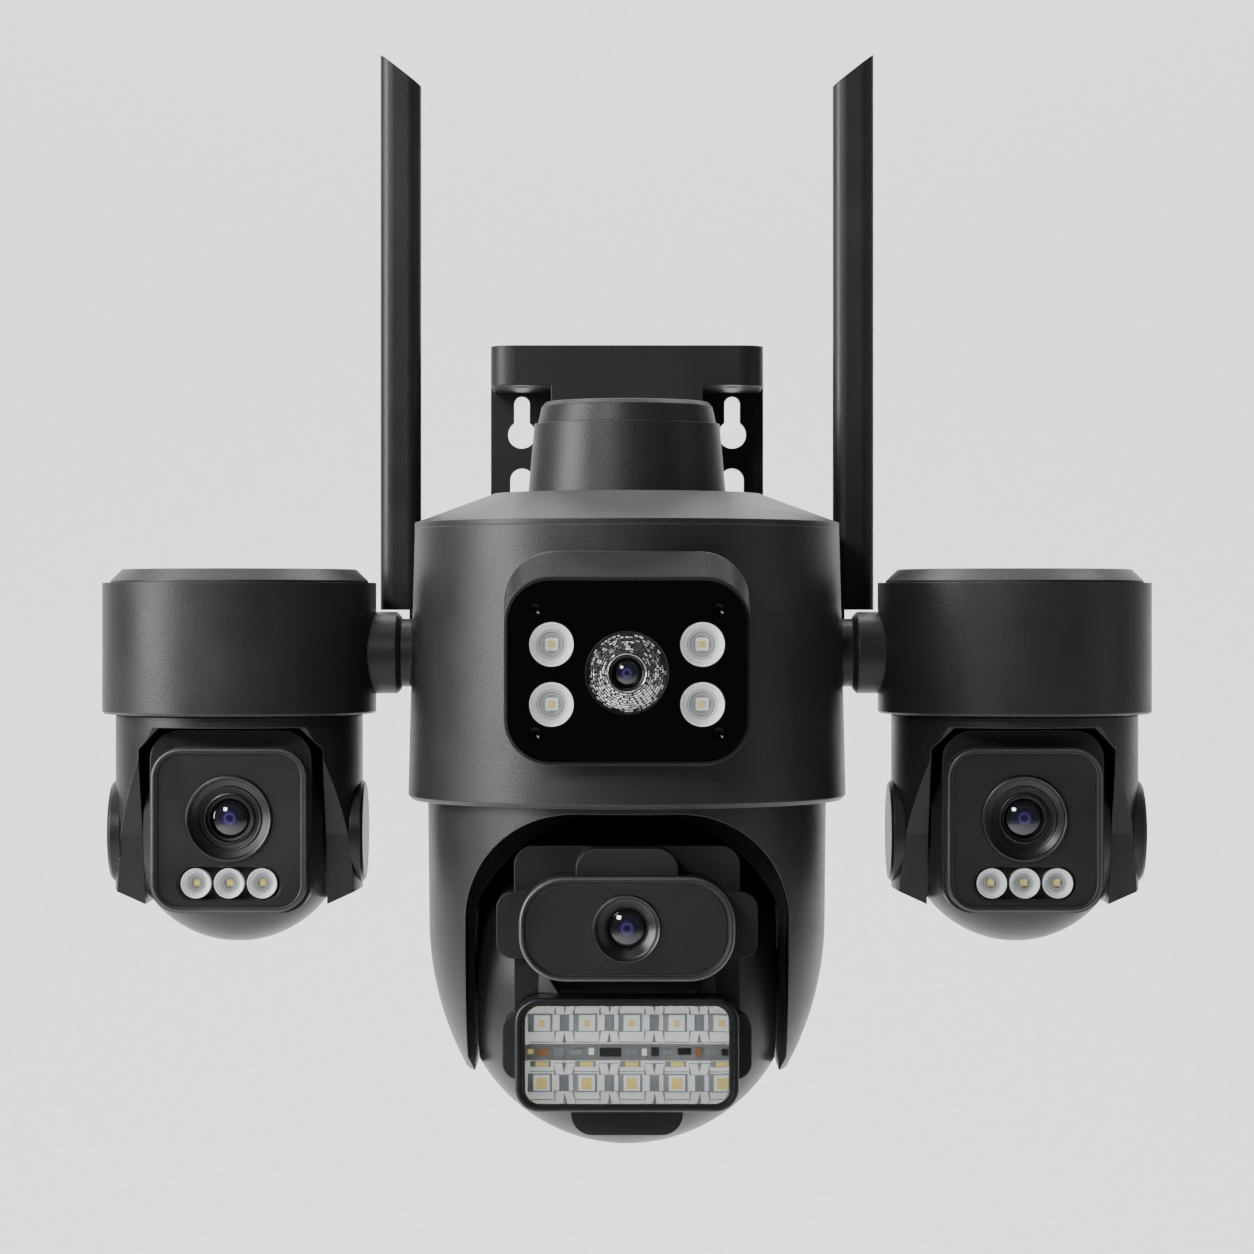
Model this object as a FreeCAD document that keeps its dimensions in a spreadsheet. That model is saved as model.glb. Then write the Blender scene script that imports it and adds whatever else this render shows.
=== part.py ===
import FreeCAD, Part
import math
import os
import re
import Sketcher

# Triple-head outdoor security camera on a wall bracket. Millimetres; +Z is up, the camera
# faces -Y, and the back of the wall plate lies on y = 0. The main axis is vertical, through
# (0, axis_y). "left" is the side at -X. Depths are measured forwards from the main axis.

V = FreeCAD.Vector
DOC = FreeCAD.newDocument("security_camera")
NODES = []

SIZES = {
    # wall bracket
    "plate_width": 80, "plate_height": 105, "plate_thick": 4,
    "flange_thick": 11.3, "flange_setback": 24, "flange_corner": 7, "flange_inset": 1.2,
    "tongue_half": 21.5, "tongue_thick": 8, "tongue_low": 12, "rib_half": 3,
    "ceiling_hole_x": 29.8, "ceiling_hole_radius": 2.25, "ceiling_hole_setback": 33,
    "key_x": 30.9, "key_z": 29, "key_radius": 4.1, "key_slot_half": 2.3, "key_slot_top": 40.2,
    "slot_half": 3.45, "slot_top": 19.1, "slot_low": -9, "screw_z": -42, "screw_hole_radius": 2.3,
    # neck
    "neck_low_radius": 27.4, "neck_top_radius": 25.6, "neck_top": 28.8, "neck_wall": 2.4,
    "neck_floor_low": 16, "foot_low": 19, "foot_top": 25, "foot_radius": 19, "foot_web_half": 15,
    "collar_top": 34.8, "collar_low_radius": 24.7, "collar_top_radius": 23.5, "collar_wall": 3.2,
    "bolt_radius": 3, "bolt_head_radius": 5.2, "bolt_head_thick": 3.6, "bolt_low": 10,
    # main drum and roof
    "axis_y": -66, "drum_top_radius": 58.6, "drum_low_radius": 60.4, "drum_low": -74.5,
    "drum_wall": 2.6, "drum_round": 1.2, "rim_thick": 1.5, "roof_top": 9.5,
    "roof_flat_radius": 36.8, "recess_radius": 31, "recess_depth": 0.8, "roof_wall": 2.5,
    "roof_bore": 20, "spigot_depth": 3,
    "floor_low": -68, "floor_thick": 3, "tower_top": -57, "tower_wall": 2.5,
    # front window
    "window_width": 63.9, "window_height": 48.8, "window_rim": 1, "window_corner": 12,
    "window_z": -38.3,
    "window_depth": 67.5, "window_thick": 2.5, "hood_rise": 6.6, "hood_corner": 13,
    "hood_depth": 59.5, "hood_root": 44, "window_lip": 4,
    "cup_x": 19.5, "cup_high_z": -31.4, "cup_low_z": -46.9, "cup_radius": 5.9, "cup_depth": 5,
    "cup_mouth": 5.4, "cup_throat": 2.6, "chip_size": 3.4, "chip_thick": 0.8,
    "ring_z": -38.8, "ring_radius": 10.8, "ring_bore": 5.4, "front_lens_radius": 4.6,
    "front_screw_x": 23.7, "front_screw_rise": 16, "front_screw_radius": 1.7,
    "board_thick": 1.6,
    # side joint and antennas
    "arm_z": -34.3, "stub_radius": 9.4, "stub_out": 62.3, "knuckle_radius": 11.3,
    "knuckle_chamfer": 1.2, "shaft_radius": 5, "shaft_length": 4.4,
    "antenna_x": 64.2, "antenna_setback": 27, "antenna_half": 5.8, "antenna_thick": 8,
    "antenna_corner": 3.8, "antenna_low": -22.5, "antenna_tip": 135.9, "antenna_slant": 10.6,
    "hinge_z": -30.5, "hinge_radius": 4, "lug_out": 57.9, "ear_in": 58.2, "ear_out": 61.6,
    "pin_radius": 1.5,
    # inside the main drum
    "gear_module": 0.8, "gear_teeth": 48, "pinion_teeth": 16, "gear_low": -64.5,
    "gear_thick": 4.5, "hub_radius": 8, "hub_bore": 3.5, "pinion_shaft_radius": 2,
    "pan_motor_radius": 12, "pan_motor_length": 19, "main_board_z": -34,
    "main_board_half_x": 34, "main_board_half_y": 25, "post_x": 30, "post_y": 20,
    "post_radius": 3, "gland_z": -62, "gland_radius": 6.5, "gland_bore": 3, "gland_out": 5.5,
    # main yoke
    "yoke_radius": 55, "yoke_low_radius": 54.6, "yoke_end_radius": 44.3, "yoke_top": -70,
    "yoke_waist_z": -107.5, "yoke_end_z": -147.8, "yoke_arc_radius": 84, "yoke_round": 1.5,
    "arch_half": 43.2, "arch_top": -76.1, "arch_corner": 29.5, "arm_gap": 0.9,
    "arm_lip_depth": 16, "back_arch_top": -98,
    "back_arch_corner": 18,
    # main head
    "tilt_z": -122.5, "head_radius": 47, "head_half": 40.4, "head_top_cut": -80.5,
    "head_gap": 1.2, "head_wall": 2.6, "face_half": 30, "face_top": -85.2, "face_low": -160.3,
    "face_corner": 10, "face_root": 28, "face_drop": 1,
    "face_plate_low": -146, "face_plate_corner": 5, "face_plate_depth": 39.5,
    "slot_root": 36, "slot_low_half": 18, "slot_high_half": 21,
    "pod_width": 56.6, "pod_height": 27.4, "pod_corner": 12, "pod_z": -106, "pod_depth": 56,
    "pod_rim": 2, "pod_sink": 1, "pocket_root": 34, "pod_lens_radius": 9.15,
    "pod_lens_bore": 5.7,
    "top_tab_half": 13.4, "top_tab_depth": 51, "tab_corner": 5.6,
    "pod_tab_half": 34.6, "pod_tab_height": 17.6, "side_tab_corner": 4.4, "side_tab_depth": 43,
    "flood_tab_half": 33, "flood_tab_height": 17.6, "flood_tab_z": -138, "side_tab_root": 12,
    "low_tab_half": 14.8, "low_tab_low": -161.4, "low_tab_depth": 44,
    "flood_width": 58.7, "flood_height": 29.8, "flood_corner": 6.3, "flood_z": -139.1,
    "flood_depth": 54, "lens_width": 53.4, "lens_height": 25.6, "lens_corner": 4,
    "lens_thick": 2.4, "lens_sink": 0.8, "flood_board_depth": 44, "chip_pitch": 11.7,
    "chip_row": 7.75, "flood_chip": 4.2, "flood_chip_thick": 1.2, "chip_shift": 0.9,
    "trunnion_radius": 6, "trunnion_reach": 5.2, "tilt_motor_radius": 14,
    "tilt_motor_length": 30,
    # side units
    "side_x": 107.1, "side_radius": 37.7, "side_low": -51, "side_top": -15, "side_wall": 2.4,
    "side_round": 0.6, "side_floor_low": -49, "side_floor_thick": 2.5,
    "lid_ledge_radius": 35.5, "lid_step": 0.5, "lid_flat_radius": 32.2, "lid_top": -11.3,
    "lid_thick": 2, "lid_spigot": 2, "side_hub_radius": 6, "side_motor_radius": 13,
    "side_motor_length": 18,
    "side_yoke_radius": 34, "side_yoke_gap": 0.4, "side_yoke_thick": 2.8,
    "side_tilt_z": -83.5, "side_head_radius": 30.3, "side_head_half": 24.3, "side_gap": 0.6,
    "side_arm_half": 14, "side_arm_top_half": 27, "side_arm_end_half": 9, "side_arm_end_z": -103.2,
    "side_arm_slant": 4.7, "gusset_reach": 6, "side_web_low": -76, "side_web_wall": 2.8,
    "ear_radius": 14, "cap_out": 34.9, "cap_thick": 3.6, "cap_chamfer": 0.8,
    "snout_width": 41.9, "snout_height": 44.1, "snout_corner": 8, "snout_z": -81.8,
    "snout_depth": 28, "shoulder_half": 21.8, "shoulder_height": 49.4,
    "shoulder_z": -79.7, "shoulder_depth": 23,
    "panel_width": 38.5, "panel_height": 41.9, "panel_corner": 6.5,
    "panel_thick": 2.4, "panel_sink": 0.5, "cavity_half": 17, "cavity_depth": 18,
    "side_lens_z": -78.7, "side_lens_radius": 11.8, "side_lens_step": 8.3,
    "side_lens_bore": 5.5, "led_z": -96.1, "led_width": 28.2, "led_height": 9.7,
    "led_corner": 4.8, "led_pitch": 8.9, "led_mouth": 4.1, "led_throat": 2.2,
    "led_depth": 3.8, "side_trunnion_radius": 5, "side_trunnion_reach": 4.2,
    "side_tilt_motor_radius": 9, "side_tilt_motor_length": 24,
    # fits
    "running_fit": 0.05, "loose_gap": 0.3, "backlash": 0.12,
}

# Places that follow from the sizes above.
DERIVED = {
    "recess_z": "(roof_top - recess_depth)",
    "flange_front": "(axis_y + flange_setback)",
    "flange_low": "(plate_height / 2 - flange_thick)",
    "drum_slope": "((drum_low_radius - drum_top_radius) / (0 - drum_low))",
    "hood_low": "(window_z - window_height / 2)",
    "window_face_y": "(axis_y - window_depth)",
    "window_back_y": "(window_face_y + window_thick)",
    "cup_back_y": "(window_face_y + cup_depth)",
    "pocket_half_x": "(window_width / 2 - window_lip)",
    "pocket_half_z": "(window_height / 2 - window_lip)",
    "floor_top": "(floor_low + floor_thick)",
    "pinion_y": "(axis_y + gear_module * (gear_teeth + pinion_teeth) / 2)",
    "gear_top": "(gear_low + gear_thick)",
    "antenna_y": "(axis_y + antenna_setback)",
    "yoke_inner": "(head_half + arm_gap)",
    "head_inner": "(head_half - head_wall)",
    "side_yoke_top": "(side_low - side_yoke_gap)",
    "side_inner": "(side_head_half + side_gap)",
    "side_face_y": "(axis_y - snout_depth + panel_sink)",
    "side_panel_back_y": "(side_face_y + panel_thick)",
    "flood_board_y": "(axis_y - flood_board_depth)",
    "side_inner_wall": "(side_radius - side_wall)",
}

SHEET = DOC.addObject("Spreadsheet::Sheet", "sizes")
for row, (alias, value) in enumerate(SIZES.items(), start=1):
    SHEET.set(f"A{row}", alias)
    SHEET.set(f"B{row}", str(value))
    SHEET.setAlias(f"B{row}", alias)
DOC.recompute()


def bound(text):
    """Expression text with derived names spelled out and aliases read from the sheet."""
    words = r"[a-z]+(?:_[a-z]+)*"
    while any(word in DERIVED for word in re.findall(words, text)):
        text = re.sub(words, lambda m: DERIVED.get(m.group(), m.group()), text)
    return re.sub(words, lambda m: "sizes." + m.group() if m.group() in SIZES else m.group(), text)


def number(text):
    """Present value of an expression."""
    return float(SHEET.evalExpression(bound(text)))


def bind(thing, prop, text):
    thing.setExpression(prop, bound(text))


TURNS = {
    "Z": FreeCAD.Rotation(),
    "X": FreeCAD.Rotation(V(0, 1, 0), 90),
    "front": FreeCAD.Rotation(V(1, 0, 0), 90),
}


def place(thing, x, y, z, axis="Z"):
    """Origin at x, y, z; the thing's own Z runs along +Z, along +X or out of the front (-Y)."""
    thing.Placement = FreeCAD.Placement(V(0, 0, 0), TURNS[axis])
    bind(thing, "Placement.Base.x", x)
    bind(thing, "Placement.Base.y", y)
    bind(thing, "Placement.Base.z", z)
    return thing


def box(name, x, y, z):
    """Box between two expressions along each axis."""
    made = DOC.addObject("Part::Box", name)
    for side, (low, high) in zip(("Length", "Width", "Height"), (x, y, z)):
        bind(made, side, f"({high}) - ({low})")
    return place(made, x[0], y[0], z[0])


def cylinder(name, radius, length, x, y, z, axis="Z"):
    made = DOC.addObject("Part::Cylinder", name)
    bind(made, "Radius", radius)
    bind(made, "Height", length)
    return place(made, x, y, z, axis)


def cone(name, low_radius, high_radius, length, x, y, z, axis="Z"):
    made = DOC.addObject("Part::Cone", name)
    bind(made, "Radius1", low_radius)
    bind(made, "Radius2", high_radius)
    bind(made, "Height", length)
    return place(made, x, y, z, axis)


def sphere(name, radius, x, y, z):
    made = DOC.addObject("Part::Sphere", name)
    bind(made, "Radius", radius)
    return place(made, x, y, z)


def fuse(name, *pieces):
    made = DOC.addObject("Part::MultiFuse", name)
    made.Shapes = list(pieces)
    return made


def common(name, *pieces):
    made = DOC.addObject("Part::MultiCommon", name)
    made.Shapes = list(pieces)
    return made


def cut(name, base, *tools):
    made = DOC.addObject("Part::Cut", name)
    made.Base = base
    made.Tool = tools[0] if len(tools) == 1 else fuse(name + "_tools", *tools)
    return made


def sketch_on(body, name, plane):
    sketch = body.newObject("Sketcher::SketchObject", name)
    planes = [item for item in body.Origin.OriginFeatures if item.Role == plane]
    sketch.AttachmentSupport = (planes[0], [""])
    sketch.MapMode = "FlatFace"
    return sketch


def pin_down(sketch, item, end, across, up):
    """Holds one end of an edge at a place given by two expressions."""
    for kind, axis_item, text in (("DistanceX", -2, across), ("DistanceY", -1, up)):
        if text == "0":
            sketch.addConstraint(Sketcher.Constraint("PointOnObject", item, end, axis_item))
        else:
            held = sketch.addConstraint(
                Sketcher.Constraint(kind, -1, 1, item, end, number(text)))
            bind(sketch, f"Constraints[{held}]", text)


def outline(sketch, points):
    """Closed outline, counter-clockwise. A third entry bows the edge after it outwards."""
    spots = [V(number(point[0]), number(point[1]), 0) for point in points]
    for index, point in enumerate(points):
        start = spots[index]
        finish = spots[(index + 1) % len(points)]
        if len(point) == 2:
            sketch.addGeometry(Part.LineSegment(start, finish))
            continue
        radius = number(point[2])
        chord = finish - start
        inward = V(-chord.y, chord.x, 0).normalize()
        sag = math.sqrt(radius ** 2 - (chord.Length / 2) ** 2)
        centre = start + chord * 0.5 + inward * sag
        first = math.atan2(start.y - centre.y, start.x - centre.x)
        last = math.atan2(finish.y - centre.y, finish.x - centre.x)
        sketch.addGeometry(Part.ArcOfCircle(Part.Circle(centre, V(0, 0, 1), radius), first, last))
        held = sketch.addConstraint(Sketcher.Constraint("Radius", index, radius))
        bind(sketch, f"Constraints[{held}]", point[2])
    for index, point in enumerate(points):
        following = (index + 1) % len(points)
        sketch.addConstraint(Sketcher.Constraint("Coincident", index, 2, following, 1))
        pin_down(sketch, index, 1, point[0], point[1])


def rounded_rectangle(sketch, half, low, high, corner):
    """Rectangle across -half..half and low..high with four equal round corners."""
    right, bottom, top, radius = (number(text) for text in (half, low, high, corner))
    left = -right
    sketch.addGeometry([
        Part.LineSegment(V(left + radius, bottom, 0), V(right - radius, bottom, 0)),
        Part.LineSegment(V(right, bottom + radius, 0), V(right, top - radius, 0)),
        Part.LineSegment(V(right - radius, top, 0), V(left + radius, top, 0)),
        Part.LineSegment(V(left, top - radius, 0), V(left, bottom + radius, 0)),
    ])
    corners = ((right, bottom, 3), (right, top, 0), (left, top, 1), (left, bottom, 2))
    for across, up, quarter in corners:
        centre = V(across - math.copysign(radius, across), up, 0)
        centre.y = bottom + radius if up == bottom else top - radius
        first = quarter * math.pi / 2
        circle = Part.Circle(centre, V(0, 0, 1), radius)
        sketch.addGeometry(Part.ArcOfCircle(circle, first, first + math.pi / 2))
    for side in range(4):
        arc = 4 + side
        sketch.addConstraint(Sketcher.Constraint("Tangent", side, 2, arc, 1))
        sketch.addConstraint(Sketcher.Constraint("Tangent", arc, 2, (side + 1) % 4, 1))
        sketch.addConstraint(
            Sketcher.Constraint("Vertical" if side % 2 else "Horizontal", side))
        held = sketch.addConstraint(Sketcher.Constraint("Radius", arc, radius))
        bind(sketch, f"Constraints[{held}]", corner)
    edges = (("DistanceX", 1, half), ("DistanceX", 3, f"0 - ({half})"),
             ("DistanceY", 0, low), ("DistanceY", 2, high))
    for kind, side, text in edges:
        held = sketch.addConstraint(Sketcher.Constraint(kind, -1, 1, side, 1, number(text)))
        bind(sketch, f"Constraints[{held}]", text)


def turned(name, points, x="0", y="axis_y", z="0", axis="Z"):
    """Body turned about its own Z from (radius, height) corners."""
    body = DOC.addObject("PartDesign::Body", name)
    sketch = sketch_on(body, name + "_profile", "XZ_Plane")
    outline(sketch, points)
    turn = body.newObject("PartDesign::Revolution", name + "_turn")
    turn.Profile = sketch
    turn.ReferenceAxis = (sketch, ["V_Axis"])
    turn.Angle = 360
    sketch.Visibility = False
    return place(body, x, y, z, axis)


def padded(name, plane, draw, length, x="0", y="0", z="0"):
    """Body padded from a sketch; on XZ it grows towards -Y, on XY up and on YZ to +X."""
    body = DOC.addObject("PartDesign::Body", name)
    sketch = sketch_on(body, name + "_outline", plane)
    draw(sketch)
    pad = body.newObject("PartDesign::Pad", name + "_pad")
    pad.Profile = sketch
    bind(pad, "Length", length)
    return place(body, x, y, z)


def slab(name, half, height, corner, root, face, x="0", z="0"):
    """Upright plate with round corners, centred on x and z, from depth root to depth face."""
    return padded(
        name, "XZ_Plane",
        lambda sketch: rounded_rectangle(
            sketch, half, f"0 - ({height}) / 2", f"({height}) / 2", corner),
        f"({face}) - ({root})", x, f"axis_y - ({root})", z)


def node(made, label):
    """Gives a finished piece the name of its file."""
    made.Label = label
    NODES.append(made)
    return made


def pair(text):
    """The two mirrored places of one distance from the middle."""
    return (f"0 - ({text})", text)


def wall_bracket():
    plate = box("plate", pair("plate_width / 2"), ("0 - plate_thick", "0"), pair("plate_height / 2"))
    block = padded(
        "flange_block", "XY_Plane",
        lambda sketch: rounded_rectangle(
            sketch, "plate_width / 2 - flange_inset", "flange_front", "flange_corner",
            "flange_corner"),
        "flange_thick", z="flange_low")
    behind = box("flange_behind", pair("plate_width"), ("0", "2 * flange_corner"),
                 ("0", "plate_height"))
    flange = cut("flange", block, behind)
    tongue = box("tongue", pair("tongue_half"), ("flange_front", "flange_front + tongue_thick"),
                 ("tongue_low", "flange_low + 1"))
    rib = box("rib", pair("rib_half"), ("flange_front + tongue_thick - 1", "0 - plate_thick / 2"),
              ("tongue_low", "flange_low + 1"))
    foot = cylinder("foot", "foot_radius", "foot_top - foot_low", "0", "axis_y", "foot_low")
    web = box("foot_web", pair("foot_web_half"), ("axis_y", "flange_front + 1"),
              ("foot_low", "foot_top"))
    holes = [cylinder("foot_hole", "bolt_radius + running_fit", "foot_top", "0", "axis_y",
                      "bolt_low")]
    for index, mirror in enumerate(("-1", "1")):
        through = "plate_thick * 2"
        at_y = "plate_thick / 2"
        key_at = f"{mirror} * key_x"
        holes += [
            cylinder(f"ceiling_hole_{index}", "ceiling_hole_radius", "plate_height",
                     f"{mirror} * ceiling_hole_x", "0 - ceiling_hole_setback", "0"),
            cylinder(f"key_{index}", "key_radius", through, key_at, at_y, "key_z", "front"),
            cylinder(f"key_end_{index}", "key_slot_half", through, key_at, at_y,
                     "key_slot_top - key_slot_half", "front"),
            box(f"key_slot_{index}", (f"{key_at} - key_slot_half", f"{key_at} + key_slot_half"),
                ("0 - 1.5 * plate_thick", at_y), ("key_z", "key_slot_top - key_slot_half")),
            cylinder(f"slot_top_{index}", "slot_half", through, key_at, at_y,
                     "slot_top - slot_half", "front"),
            cylinder(f"slot_low_{index}", "slot_half", through, key_at, at_y,
                     "slot_low + slot_half", "front"),
            box(f"slot_{index}", (f"{key_at} - slot_half", f"{key_at} + slot_half"),
                ("0 - 1.5 * plate_thick", at_y), ("slot_low + slot_half", "slot_top - slot_half")),
            cylinder(f"screw_hole_{index}", "screw_hole_radius", through, key_at, at_y,
                     "screw_z", "front"),
        ]
    solid = fuse("bracket_solid", plate, flange, tongue, rib, foot, web)
    node(cut("bracket", solid, *holes), "wall_bracket")


def neck():
    """Cup on the roof, its cap, and the bolt that holds both to the bracket's foot."""
    height = "neck_top - recess_z"
    outer = cone("cup_outer", "neck_low_radius", "neck_top_radius", height, "0", "axis_y",
                 "recess_z")
    inner = "neck_top_radius - neck_wall"
    tongue_room = box("cup_tongue_room", pair("tongue_half + 10"),
                      ("flange_front - loose_gap", "0"), ("tongue_low - loose_gap", "plate_height"))
    web_room = box("cup_web_room", pair("foot_web_half + loose_gap"), ("axis_y", "0"),
                   ("foot_low", "neck_top + 1"))
    node(cut("cup", outer,
             cylinder("cup_room", inner, "neck_top", "0", "axis_y", "foot_low"),
             cylinder("cup_under", inner, "neck_floor_low - recess_z", "0", "axis_y", "recess_z"),
             cylinder("cup_bolt_hole", "bolt_radius + running_fit", "neck_top", "0", "axis_y", "0"),
             tongue_room, web_room), "neck_cup")
    cap = turned("collar_turned", [
        ("collar_low_radius - collar_wall", "neck_top"), ("collar_low_radius", "neck_top"),
        ("collar_top_radius + 0.1", "collar_top - 1.2"), ("collar_top_radius - 1", "collar_top"),
        ("0", "collar_top"), ("0", "collar_top - 2"),
        ("collar_low_radius - collar_wall", "collar_top - 2"),
    ])
    cap_room = box("collar_room", pair("tongue_half + 10"), ("flange_front - loose_gap", "0"),
                   ("0", "plate_height"))
    node(cut("collar", cap, cap_room), "neck_collar")
    shank = cylinder("shank", "bolt_radius", "foot_top - bolt_low", "0", "axis_y", "bolt_low")
    head = DOC.addObject("Part::Prism", "bolt_head")
    head.Polygon = 6
    bind(head, "Circumradius", "bolt_head_radius")
    bind(head, "Height", "bolt_head_thick")
    place(head, "0", "axis_y", "foot_top")
    node(fuse("bolt", shank, head), "neck_bolt")


def roof():
    node(turned("roof", [
        ("drum_top_radius - drum_wall - 2", "0 - spigot_depth"),
        ("drum_top_radius - drum_wall - running_fit", "0 - spigot_depth"),
        ("drum_top_radius - drum_wall - running_fit", "0"),
        ("drum_top_radius", "0"), ("drum_top_radius", "rim_thick"),
        ("roof_flat_radius", "roof_top"), ("recess_radius", "roof_top"),
        ("recess_radius", "recess_z"), ("roof_bore", "recess_z"),
        ("roof_bore", "recess_z - roof_wall"), ("roof_flat_radius - 1", "recess_z - roof_wall"),
        ("drum_top_radius - drum_wall - 2", "rim_thick - roof_wall"),
    ]), "roof_cover")


def drum_outer(name):
    """Outside of the drum's wall as a solid, to trim what meets it."""
    return cone(name, "drum_low_radius", "drum_top_radius", "0 - drum_low - drum_round", "0",
                "axis_y", "drum_low + drum_round")


def hood():
    """Fairing round the front window: a straight root and a tapered front."""
    root_face = "hood_depth"
    high = "window_height / 2 + hood_rise"
    low = "0 - window_height / 2"
    half = "window_width / 2"
    straight = padded(
        "hood_root_block", "XZ_Plane",
        lambda sketch: rounded_rectangle(sketch, half, low, high, "hood_corner"),
        f"{root_face} - hood_root", "0", "axis_y - hood_root", "window_z")
    body = DOC.addObject("PartDesign::Body", "hood_front")
    back = sketch_on(body, "hood_back_outline", "XZ_Plane")
    rounded_rectangle(back, half, low, high, "hood_corner")
    face = sketch_on(body, "hood_face_outline", "XZ_Plane")
    bind(face, "AttachmentOffset.Base.z", "window_depth - window_thick - hood_depth")
    rounded_rectangle(face, half, low, "window_height / 2", "window_corner")
    loft = body.newObject("PartDesign::AdditiveLoft", "hood_loft")
    loft.Profile = back
    loft.Sections = [face]
    loft.Ruled = True
    place(body, "0", "axis_y - hood_depth", "window_z")
    return fuse("hood", straight, body)


def drum():
    wall = turned("drum_wall_turned", [
        ("drum_low_radius - drum_wall", "drum_low"), ("drum_low_radius - drum_round", "drum_low"),
        ("drum_low_radius", "drum_low + drum_round"), ("drum_top_radius", "0"),
        ("drum_top_radius - drum_wall", "0"),
    ])
    pocket = slab("hood_pocket", "pocket_half_x", "2 * pocket_half_z", "window_corner - 4",
                  "hood_root - 10", "window_depth + 1", z="window_z")
    shaft_hole = cylinder("drum_shaft_hole", "shaft_radius + running_fit", "4 * drum_low_radius",
                          "0 - 2 * drum_low_radius", "axis_y", "arm_z", "X")
    gland_hole = cylinder("drum_gland_hole", "gland_bore", "drum_low_radius", "0", "0", "gland_z",
                          "front")
    node(cut("drum_shell_cut", fuse("drum_solid", wall, hood()), pocket, shaft_hole, gland_hole),
         "drum_shell")
    grommet = cylinder("grommet", "gland_radius", "gland_out + 4", "0",
                       "axis_y + drum_low_radius + gland_out - 1", "gland_z", "front")
    bore = cylinder("grommet_bore", "gland_bore", "drum_low_radius", "0", "0", "gland_z", "front")
    node(cut("gland", grommet, drum_outer("gland_trim"), bore), "cable_gland")


def drum_floor():
    """Floor with the main bearing, the pan motor's tower and four posts for the board."""
    disc = cylinder("floor_disc", "drum_low_radius - drum_wall - 0.6", "floor_thick", "0",
                    "axis_y", "floor_low")
    rim = cut("floor_disc_trimmed", disc,
              cut("floor_trim", cylinder("floor_trim_out", "2 * drum_low_radius", "-drum_low",
                                         "0", "axis_y", "drum_low"),
                  cone("floor_trim_in", "drum_low_radius - drum_wall",
                       "drum_top_radius - drum_wall", "0 - drum_low", "0", "axis_y", "drum_low")))
    tower = cylinder("tower", "pan_motor_radius", "tower_top - floor_top + 1", "0", "pinion_y",
                     "floor_top - 1")
    posts = [
        cylinder(f"post_{right}_{back}", "post_radius", "main_board_z - floor_top + 1",
                 f"{right} * post_x", f"axis_y + {back} * post_y", "floor_top - 1")
        for right in ("-1", "1") for back in ("-1", "1")
    ]
    swing = "gear_module * (gear_teeth + 2) / 2 + loose_gap"
    node(cut("floor_cut", fuse("floor_solid", rim, tower, *posts),
             cylinder("tower_room", "pan_motor_radius - tower_wall", "tower_top - floor_top + 1",
                      "0", "pinion_y", "floor_top"),
             cylinder("gear_room", swing, "tower_top - floor_top + 1", "0", "axis_y", "floor_top"),
             cylinder("floor_bearing", "hub_radius + running_fit", "4 * floor_thick", "0",
                      "axis_y", "floor_low - floor_thick"),
             cylinder("pinion_bearing", "pinion_shaft_radius + running_fit", "4 * floor_thick",
                      "0", "pinion_y", "floor_low - floor_thick")), "drum_floor")
    motor = cylinder("pan_motor_can", "pan_motor_radius", "pan_motor_length", "0", "pinion_y",
                     "tower_top")
    node(cut("pan_motor_cut", motor,
             cylinder("pan_motor_bore", "pinion_shaft_radius + running_fit", "5", "0", "pinion_y",
                      "tower_top - 1")), "pan_motor")
    board = box("board_plate", pair("main_board_half_x"),
                ("axis_y - main_board_half_y", "axis_y + main_board_half_y"),
                ("main_board_z", "main_board_z + board_thick"))
    chip = box("board_chip", pair("7"), ("axis_y - 7", "axis_y + 7"),
               ("main_board_z + board_thick", "main_board_z + board_thick + 1.5"))
    node(fuse("board", board, chip), "main_board")


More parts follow.
